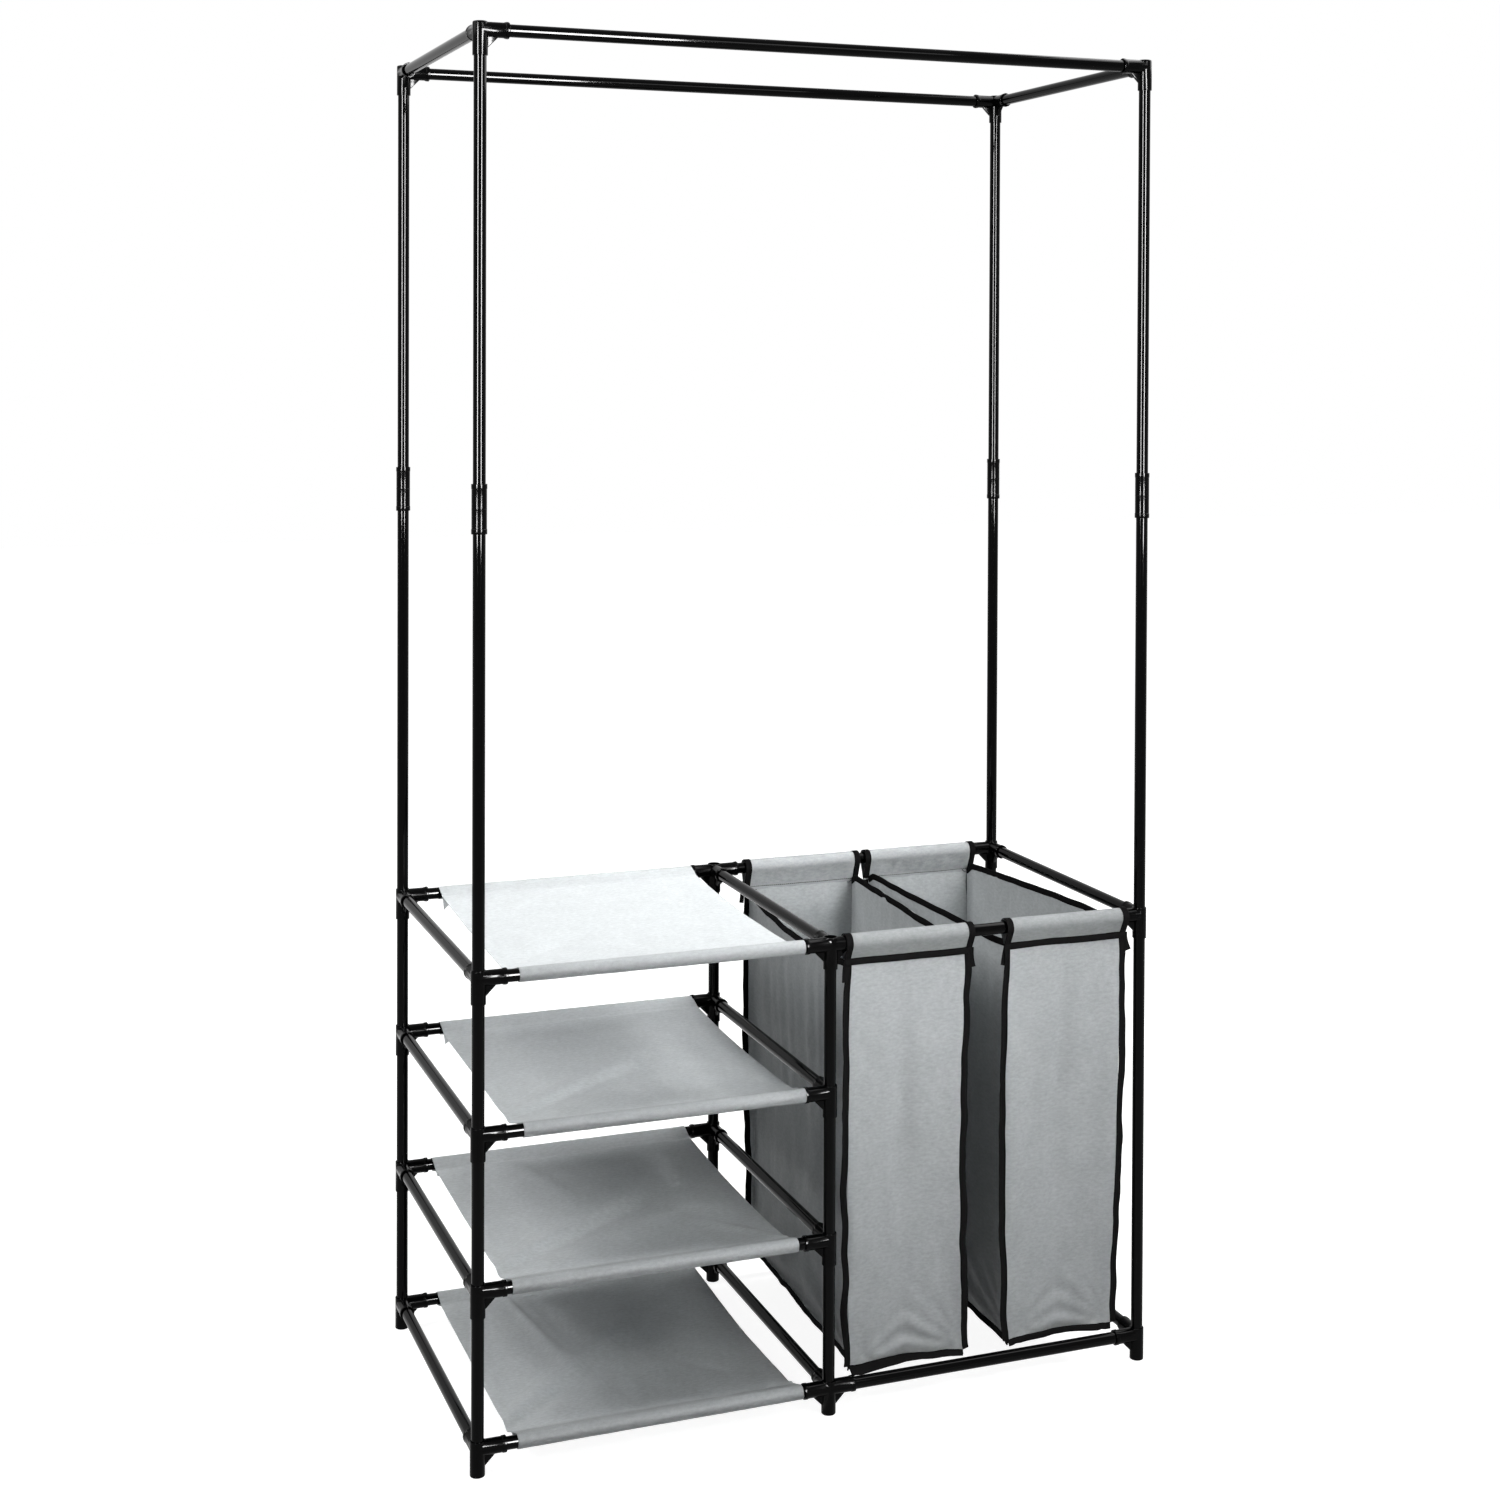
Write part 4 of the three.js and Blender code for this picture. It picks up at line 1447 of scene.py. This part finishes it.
    def hang(self):
        """Lets the cloth hang from its top edges under its own weight, in Blender's cloth simulation."""
        scene = bpy.context.scene
        before = [p.copy() for p in self.points]
        mesh = bpy.data.meshes.new("hanging_bag")
        faces = [face for panel in self.faces.values() for face in panel]
        mesh.from_pydata([tuple(p) for p in self.points], [], faces)
        cloth_object = link("hanging_bag", mesh)
        pins = cloth_object.vertex_groups.new(name="pins")
        pins.add(list(range(self.around)), 1.0, "REPLACE")
        modifier = cloth_object.modifiers.new("hang", "CLOTH")
        for name, value in HANG_SETTINGS.items():
            setattr(modifier.settings, name, value)
        modifier.collision_settings.use_collision = False
        modifier.collision_settings.use_self_collision = False
        modifier.point_cache.frame_start = 1
        modifier.point_cache.frame_end = HANG_FRAMES
        for number in range(1, HANG_FRAMES + 1):
            scene.frame_set(number)
        made = applied(cloth_object)
        scene.frame_set(1)
        for i, start in enumerate(before):
            shift = made.vertices[i].co - start
            if shift.length > MOST_SHIFT:
                shift = shift.normalized() * MOST_SHIFT
            self.points[i] = start + shift
        bpy.data.meshes.remove(made)

    def corner(self, panel_end):
        """The points down one of the four corner seams, from the top."""
        return [self.points[self.number(self.corners[panel_end], j)] for j in range(self.high + 1)]

    def edge(self, panel, j):
        """The points along a panel's top (j = 0) or bottom (j = high) edge."""
        first, last = self.runs[panel]
        return [self.points[self.number(i, j)] for i in range(first, last + 1)]

    def panel_mesh(self, panel):
        """A panel as its own smooth mesh, with its cloth map."""
        used = sorted({n for face in self.faces[panel] for n in face})
        order = {n: i for i, n in enumerate(used)}
        faces = [[order[n] for n in face] for face in self.faces[panel]]
        mesh = bpy.data.meshes.new(panel)
        mesh.from_pydata([tuple(self.points[n]) for n in used], [], faces)
        layer = mesh.uv_layers.new(name="cloth")
        spots = [spot for places in self.maps[panel] for spot in places]
        for i, spot in enumerate(spots):
            layer.data[i].uv = spot
        source = link(panel + "_coarse", mesh)
        finer = source.modifiers.new("finer", "SUBSURF")
        finer.levels = finer.render_levels = 1
        finer.boundary_smooth = "PRESERVE_CORNERS"
        made = applied(source)
        crumple(made, self.seed)
        return made


def crumple(mesh, seed):
    """Pushes a panel's points in and out a little, but not at its seams."""
    spots = {}
    for loop, spot in zip(mesh.loops, mesh.uv_layers["cloth"].data):
        spots[loop.vertex_index] = spot.uv.copy()
    left, right = min(s.x for s in spots.values()), max(s.x for s in spots.values())
    low, high = min(s.y for s in spots.values()), max(s.y for s in spots.values())
    shifts = []
    for vertex in mesh.vertices:
        u, v = spots[vertex.index]
        inside = min(u - left, right - u, v - low, high - v)
        free = min(1.0, inside / CRUMPLE_EDGE)
        at = vertex.co
        push = 0.0
        for aside, upward, strength in CRUMPLES:
            push += strength * wave(at.x * aside, at.y * aside, at.z * upward + seed)
        shifts.append(at + vertex.normal * push * free * CRUMPLE_DEPTH)
    mesh.vertices.foreach_set("co", [value for point in shifts for value in point])
    mesh.update()


def tape(path, inward, width, thickness, wobble, seed, taper):
    """Points and faces of a folded tape along a path: it covers a strip of the given width from the edge
    inwards, which narrows to a share of it at the end."""
    path = [Vector(p) for p in path]
    inward = [Vector(v) for v in inward]
    half = thickness / 2
    rounding = half * TAPE_ROUNDING_SHARE
    edge = -TAPE_OVERHANG
    section = []
    for a, b, start in ((edge, half, 90), (edge, -half, 180), (width, -half, 270), (width, half, 0)):
        centre_a = a + (rounding if a < 0 else -rounding)
        centre_b = b - math.copysign(rounding, b)
        for step in range(3):
            angle = math.radians(start + 45 * step)
            section.append((centre_a + rounding * math.cos(angle), centre_b + rounding * math.sin(angle)))
    points, faces = [], []
    count = len(section)
    for i, place in enumerate(path):
        ahead = path[min(i + 1, len(path) - 1)] - path[max(i - 1, 0)]
        ahead.normalize()
        side = (inward[i] - inward[i].project(ahead)).normalized()
        swing = 0.0
        for shift, pace, row, strength in TAPE_SWINGS:
            swing += wobble * strength * wave(seed + shift, i * pace, row)
        side = Matrix.Rotation(swing, 3, ahead) @ side
        normal = ahead.cross(side)
        place = place + side * wobble * TAPE_DRIFT * wave(seed + 9, i * 0.17, 0.1)
        narrowed = between(1.0, taper, i / (len(path) - 1))
        for a, b in section:
            points.append(place + side * (a * narrowed if a > 0 else a) + normal * b)
    for i in range(len(path) - 1):
        for k in range(count):
            m = (k + 1) % count
            faces.append([i * count + k, i * count + m, (i + 1) * count + m, (i + 1) * count + k])
    faces.append(list(range(count)))
    faces.append([(len(path) - 1) * count + k for k in reversed(range(count))])
    return points, faces


def sleeve_section(row):
    """The section of a sleeve round its rail, as (y, z) offsets from the rail's axis, from the loose edge to
    the seam. The front sleeve's loose edge lies behind it and the rear sleeve's in front."""
    sizes = bpy.context.scene.wardrobe_bags
    radius = sizes.sleeve_radius + sizes.thickness / 2
    apart = sizes.thickness * SLEEVE_LAYERS_SHARE
    section = loop_section(radius, SEAM_DROPS[row], apart, SLEEVE_STEPS, SLEEVE_FLAP)
    return [(OUTWARD[row][1] * b, -a) for a, b in section]


def sleeve_rows(row, ends, seed):
    """The thin cloth of a sleeve, from end to end, with its creases."""
    left, right = ends[row]
    rows = []
    for y, z in sleeve_section(row):
        out = Vector((0.0, y, z + SLEEVE_LIFT_CENTRE)).normalized()
        line = []
        for i in range(SLEEVE_COLUMNS + 1):
            share = i / SLEEVE_COLUMNS
            x = between(left, right, share)
            free = min(1.0, arched(share, SLEEVE_FADE_SHARE)) * min(1.0, max(0.0, -z / SLEEVE_FADE_DEPTH))
            creases = 0.0
            for by_x, by_z, upward, shift, strength in SLEEVE_CREASES:
                creases += strength * wave(x * by_x + z * by_z, z * upward, seed + shift)
            lift = SLEEVE_CREASE * SLEEVE_SLACK_SHARES[row] * creases * free
            lift += SLEEVE_WAVE * wave(x * 30, y * 90, seed + 2)
            line.append((x, ROWS[row] + y + out.y * lift, BAG_LEVEL + z + out.z * lift))
        rows.append(line)
    return rows


def bag_tapes(bag, ends, seed, tails, front_hem):
    """All the binding tape of a bag, as one mesh."""
    sizes = bpy.context.scene.wardrobe_bags
    wide, thick = sizes.tape_width, sizes.thickness + 2 * sizes.tape_thickness
    parts = []

    def add(path, directions, width=wide, thickness=thick, wobble=0.0, taper=1.0):
        if isinstance(directions, Vector):
            directions = [directions] * len(path)
        own_seed = seed + len(parts) * TAPE_SEED_STEP
        parts.append(tape(path, directions, width, thickness, wobble, own_seed, taper))

    for row in ROWS:
        section = [(y * END_TAPE_SHARE, z * END_TAPE_SHARE) for y, z in sleeve_section(row)[LOOSE_STEPS:]]
        for x, inward in zip(ends[row], (1.0, -1.0)):
            path = [(x, ROWS[row] + y, BAG_LEVEL + z) for y, z in section]
            add(path, Vector((inward, 0, 0)), thickness=END_TAPE_THICKNESS)
    for row in ROWS:
        left, right = ends[row]
        outward = OUTWARD[row][1]
        path = []
        for i in range(SEAM_TAPE_STEPS + 1):
            x = between(left + SEAM_TAPE_INSET, right - SEAM_TAPE_INSET, i / SEAM_TAPE_STEPS)
            z = BAG_LEVEL - SEAM_DROPS[row] + SEAM_TAPE_UP + BAG_WAVE * wave(x * 14, seed + 20, 0.2)
            path.append((x, ROWS[row] + outward * SEAM_TAPE_OUT, z))
        add(path, Vector((0, outward * TAPE_TILT_SHARE, -1)), thickness=SEAM_TAPE_THICKNESS)
    for row in ROWS:
        for side, way in (("left", -1.0), ("right", 1.0)):
            direction = Vector((way, OUTWARD[row][1] * TAPE_TILT_SHARE, 0))
            add(bag.corner(f"{row}_{side}"), direction, wobble=WOBBLE_SHARES["corner"])
    plain_hem = (wide * HEM_TAPE_SHARE, HEM_TAPE_TILT_SHARE, 1.0)
    for panel, (out_x, out_y) in OUTWARD.items():
        reach, tilt, taper = front_hem if panel == "front" else plain_hem
        direction = Vector((out_x * tilt, out_y * tilt, -1))
        add(bag.edge(panel, bag.high), direction, width=reach, wobble=WOBBLE_SHARES["hem"], taper=taper)
    for panel in ("left", "right"):
        add(bag.edge(panel, 0), Vector((0, 0, -1)), wobble=WOBBLE_SHARES["top"])
    for row, side, reach, lean in tails:
        x = ends[row][0 if side < 0 else 1]
        start_x, start_y, start_z = TAIL_START
        y = ROWS[row] + OUTWARD[row][1] * start_y
        path = []
        for i in range(TAIL_STEPS + 1):
            share = i / TAIL_STEPS
            tail_x = x + side * (start_x + lean * share**1.5)
            tail_y = y + TAIL_SWING * math.sin(3 * share)
            path.append((tail_x, tail_y, BAG_LEVEL - SEAM_DROPS["front"] + start_z - reach * share))
        add(path, Vector((-side, TAIL_TURN_SHARE, 0)), width=TAIL_WIDTH, thickness=TAIL_THICKNESS)
    return joined(parts, "bag_tapes")


class WARDROBE_OT_bags(bpy.types.Operator):
    """Builds the two laundry bags: sleeves, panels, binding tape and stitches."""

    bl_idname = "wardrobe.bags"
    bl_label = "Laundry bags"

    def execute(self, context):
        for name, plan in BAG_PLANS.items():
            self.build(context, name, plan)
        return {"FINISHED"}

    def build(self, context, name, plan):
        """One bag, which rides on its own body."""
        sizes = context.scene.wardrobe_bags
        node = f"{name}_laundry_bag"
        rides = f"{name}_bag"
        seed = plan["seed"]
        ends = sleeve_ends(node)
        bottom = BASE_LEVEL + plan["bottom_rise"]
        bag = BagBody(ends, plan["side_tops"], bottom, seed, plan["sways"], plan["kicks"])
        bag.hang()
        tapes = bag_tapes(bag, ends, seed, plan["tails"], plan["front_hem"])
        bound = settled(f"{name}_bag_binding", tapes, rides, "black_binding_tape", SHARP_CLOTH)
        for row, own_seed, trim in (("front", seed, [bound]), ("rear", seed + 15, [])):
            rows = sleeve_rows(row, ends, own_seed)
            sleeve_name = f"{name}_bag_{row}_sleeve"
            sleeve, width, flat = cloth_piece(sleeve_name, rows, rides, [node], sizes.thickness, "bag_cloth")
        width = ends["front"][1] - ends["front"][0] - 2 * sizes.seam_flange
        spans = {
            "front": (width, bag.height),
            "rear": (width, bag.height),
            "left": (BACK_TO_FRONT, bag.height),
            "right": (BACK_TO_FRONT, bag.height),
            "bottom": (width, BACK_TO_FRONT),
        }
        for panel, flat in spans.items():
            mesh = bag.panel_mesh(panel)
            piece = thickened(f"{name}_bag_{panel}_panel", mesh, rides, [node], sizes.thickness, "bag_cloth")
        self.sew(name, rides, bag, ends, sizes)

    def sew(self, name, rides, bag, ends, sizes):
        """The dark stitches below the sleeves, on the inside, and down the inner corners."""
        paths = []
        inner = sizes.thickness / 2 + sizes.seam_thread * SEAM_STITCH_RISE_SHARE
        for row in ROWS:
            inward = -OUTWARD[row][1]
            left, right = ends[row]
            path = []
            for i in range(SEAM_STITCH_STEPS + 1):
                x = between(left + sizes.seam_flange, right - sizes.seam_flange, i / SEAM_STITCH_STEPS)
                y = ROWS[row] + inward * (inner + sizes.thickness * SLEEVE_LAYERS_SHARE)
                z = BAG_LEVEL - SEAM_DROPS[row] + SEAM_STITCH_WAVE * wave(x * 20, 3.0, bag.seed)
                path.append((x, y, z))
            paths.append(path)
            for (x, y, z), away in ((path[0], 1.0), (path[-1], -1.0)):
                loose = []
                for k in range(LOOSE_END_STEPS + 1):
                    share = k / LOOSE_END_STEPS
                    loose_y = y + inward * (LOOSE_END_START + LOOSE_END_DEPTH * share)
                    loose_z = z + LOOSE_END * LOOSE_END_CURL_SHARE * math.sin(2.6 * share + bag.seed)
                    loose.append((x + away * LOOSE_END * share, loose_y, loose_z))
                paths.append(loose)
        stitches(f"{name}_bag_seam_stitches", paths, rides, sizes.stitch, sizes.seam_thread, "dark_thread")
        paths = []
        inner = sizes.thickness / 2 + sizes.thread * CORNER_STITCH_RISE_SHARE
        for row in ROWS:
            for side in ("left", "right"):
                offset = Vector((-OUTWARD[side][0], -OUTWARD[row][1], 0)) * inner
                paths.append([p + offset for p in bag.corner(f"{row}_{side}")])
        stitches(f"{name}_bag_corner_stitches", paths, rides, sizes.stitch, sizes.thread, "dark_thread")


# Studio


def camera_axes(yaw, pitch, roll):
    """The camera's right, up and view directions from its angles in degrees."""
    yaw, pitch, roll = (math.radians(a) for a in (yaw, pitch, roll))
    view = Vector((math.sin(yaw) * math.cos(pitch), math.cos(yaw) * math.cos(pitch), math.sin(pitch)))
    right = Vector((math.cos(yaw), -math.sin(yaw), 0.0))
    up = right.cross(view)
    return (
        math.cos(roll) * right + math.sin(roll) * up,
        -math.sin(roll) * right + math.cos(roll) * up,
        view,
    )


class WARDROBE_OT_stage(bpy.types.Operator):
    """Builds the floor, the backdrop light, the lamps and the camera."""

    bl_idname = "wardrobe.stage"
    bl_label = "Stage"

    def execute(self, context):
        scene = context.scene
        build_floor(scene)
        build_world(scene)
        for lamp in LAMPS:
            build_lamp(scene, *lamp)
        build_camera(scene)
        return {"FINISHED"}


FLOOR_GLOW_NEAR = 0.92
# Each lamp's name, place, aim, size, power in watts, spread in degrees, and whether it lights dull surfaces
LAMPS = (
    ("right_softbox", (2.3, 0.0, 3.0), (0.0, 0.0, 0.6), (2.4, 2.4), 170.0, 180.0, True),
    ("left_softbox", (-2.3, 0.0, 3.0), (0.0, 0.0, 0.6), (2.2, 2.2), 84.0, 180.0, True),
    ("front_key", (0.7, -2.3, 2.2), (0.2, 0.0, 0.9), (0.9, 0.9), 4.6, 60.0, True),
    ("front_grid", (0.3, -3.6, 1.3), (0.1, 0.0, 0.8), (1.0, 1.0), 2.0, 20.0, True),
    ("right_streak", (0.5, -3.0, 1.6), (0.0, 0.0, 1.6), (0.46, 1.4), 700.0, 180.0, False),
    ("left_streak", (-2.3, -1.9, 1.65), (0.0, 0.0, 1.65), (0.44, 1.4), 600.0, 180.0, False),
)


def background_rays(tree):
    """A socket that is 1 for the rays that show the background: the camera's and those in gloss and glass."""
    rays = add_node(tree, "ShaderNodeLightPath").outputs
    shown = rays["Is Camera Ray"]
    for kind in ("Is Glossy Ray", "Is Transmission Ray"):
        either = add_node(tree, "ShaderNodeMath", {0: shown, 1: rays[kind]}, operation="MAXIMUM")
        shown = either.outputs["Value"]
    return shown


FLOOR_REACH = 14.0
FLOOR_CLOUD = (1.5, 2.0, 0.5)
FLOOR_CLOUD_SHARES = (0.99, 1.01)
FLOOR_ROUGHNESS = 0.9
FLOOR_SPECULAR = 0.1
# The floor glows less at the wardrobe than beyond it: the distances of that range
FLOOR_GLOW_DISTANCES = (0.6, 2.6)


def build_floor(scene):
    """A wide pale floor that is white to the camera and in reflections, but keeps the shadow."""
    corners = [(-1, -1), (1, -1), (1, 1), (-1, 1)]
    mesh = bpy.data.meshes.new("floor")
    mesh.from_pydata([(x * FLOOR_REACH, y * FLOOR_REACH, 0) for x, y in corners], [], [(0, 1, 2, 3)])
    floor = link("floor", mesh)
    material, tree, shader, output = new_material("pale_floor")
    base = tuple(scene.wardrobe_finishes.floor)
    place = add_node(tree, "ShaderNodeTexCoord").outputs["Object"]
    cloud = speckle(tree, place, *FLOOR_CLOUD)
    tint = mixed_colour(tree, cloud, *(shaded(base, share) for share in FLOOR_CLOUD_SHARES))
    set_inputs(
        tree, shader, {"Base Color": tint, "Roughness": FLOOR_ROUGHNESS, "Specular IOR Level": FLOOR_SPECULAR}
    )
    away = add_node(tree, "ShaderNodeVectorMath", {0: place}, operation="LENGTH").outputs["Value"]
    strength = ranged(tree, away, FLOOR_GLOW_DISTANCES, (FLOOR_GLOW_NEAR, 1.0))
    shown = add_node(tree, "ShaderNodeMath", {0: background_rays(tree), 1: strength}, operation="MULTIPLY")
    inputs = {"Color": (1.0, 1.0, 1.0, 1.0), "Strength": shown.outputs["Value"]}
    glow = add_node(tree, "ShaderNodeEmission", inputs)
    both = add_node(tree, "ShaderNodeAddShader", {0: shader.outputs["BSDF"], 1: glow.outputs["Emission"]})
    tree.links.new(both.outputs["Shader"], output.inputs["Surface"])
    floor.data.materials.append(material)


ROOM_COLOUR = (0.93, 0.97, 1.0, 1.0)
ROOM_STRENGTH = 0.01


def build_world(scene):
    """A dim even room that is white to the camera and in reflections."""
    world = bpy.data.worlds.new("studio")
    scene.world = world
    world.use_nodes = True
    tree = world.node_tree
    tree.nodes.clear()
    room = add_node(tree, "ShaderNodeBackground", {"Color": ROOM_COLOUR, "Strength": ROOM_STRENGTH})
    white = add_node(tree, "ShaderNodeBackground", {"Color": (1.0, 1.0, 1.0, 1.0), "Strength": 1.0})
    inputs = {"Fac": background_rays(tree), 1: room.outputs["Background"], 2: white.outputs["Background"]}
    mix = add_node(tree, "ShaderNodeMixShader", inputs)
    add_node(tree, "ShaderNodeOutputWorld", {"Surface": mix.outputs["Shader"]})


def build_lamp(scene, name, place, aim, size, power, spread, full):
    """A soft rectangular lamp that points at a place. One that isn't full shows only in gloss."""
    data = bpy.data.lights.new(name, "AREA")
    data.shape = "RECTANGLE"
    data.size, data.size_y = size
    data.energy = power
    data.spread = math.radians(spread)
    lamp = bpy.data.objects.new(name, data)
    scene.collection.objects.link(lamp)
    lamp.visible_diffuse = full
    lamp.location = place
    away = Vector(aim) - Vector(place)
    lamp.rotation_mode = "QUATERNION"
    lamp.rotation_quaternion = away.to_track_quat("-Z", "Y")


# The camera solved from the photo: sensor and lens in millimetres, vertical shift, place, angles in degrees
CAMERA_SENSOR = 36.0
CAMERA_LENS = 53.29
CAMERA_SHIFT = -0.2371
CAMERA_RANGE = (0.1, 60.0)
CAMERA_PLACE = (-1.1250, -2.8992, 1.3850)
CAMERA_ANGLES = (20.751, -0.888, 0.219)


def build_camera(scene):
    """The camera at the photograph's viewing place, with the frame's vertical shift."""
    data = bpy.data.cameras.new("camera")
    data.sensor_width = CAMERA_SENSOR
    data.lens = CAMERA_LENS
    data.shift_y = CAMERA_SHIFT
    data.clip_start, data.clip_end = CAMERA_RANGE
    camera = bpy.data.objects.new("camera", data)
    scene.collection.objects.link(camera)
    right, up, view = camera_axes(*CAMERA_ANGLES)
    turn = Matrix((right, up, -view)).transposed().to_4x4()
    camera.matrix_world = Matrix.Translation(CAMERA_PLACE) @ turn
    scene.camera = camera
    scene.view_settings.view_transform = "Standard"


class WARDROBE_PT_panel(bpy.types.Panel):
    """Lists the wardrobe's pieces in the sidebar."""

    bl_idname = "WARDROBE_PT_panel"
    bl_label = "Open Frame Wardrobe"
    bl_space_type = "VIEW_3D"
    bl_region_type = "UI"
    bl_category = "Wardrobe"

    def draw(self, context):
        for operator in STEPS:
            self.layout.operator(operator.bl_idname)
        for group in PROPERTY_GROUPS:
            box = self.layout.box()
            held = getattr(context.scene, group)
            for name in held.__annotations__:
                box.prop(held, name)


STEPS = (
    WARDROBE_OT_tubes,
    WARDROBE_OT_connectors,
    WARDROBE_OT_shelves,
    WARDROBE_OT_bags,
    WARDROBE_OT_stage,
)
PROPERTY_GROUPS = {
    "wardrobe_tubes": WardrobeTubeSizes,
    "wardrobe_connectors": WardrobeConnectorSizes,
    "wardrobe_shelves": WardrobeShelfSizes,
    "wardrobe_bags": WardrobeBagSizes,
    "wardrobe_finishes": WardrobeFinishes,
}


def register():
    """Registers the classes and hangs the property groups on the scene."""
    for group in (*PROPERTY_GROUPS.values(), *STEPS, WARDROBE_PT_panel):
        bpy.utils.register_class(group)
    for name, group in PROPERTY_GROUPS.items():
        setattr(bpy.types.Scene, name, PointerProperty(type=group))


def unregister():
    """Takes the property groups and the classes away again."""
    for name in PROPERTY_GROUPS:
        delattr(bpy.types.Scene, name)
    for group in reversed((*PROPERTY_GROUPS.values(), *STEPS, WARDROBE_PT_panel)):
        bpy.utils.unregister_class(group)


def main():
    """Builds the whole wardrobe."""
    register()
    for operator in STEPS:
        group, name = operator.bl_idname.split(".")
        getattr(getattr(bpy.ops, group), name)()


if __name__ == "__main__":
    main()
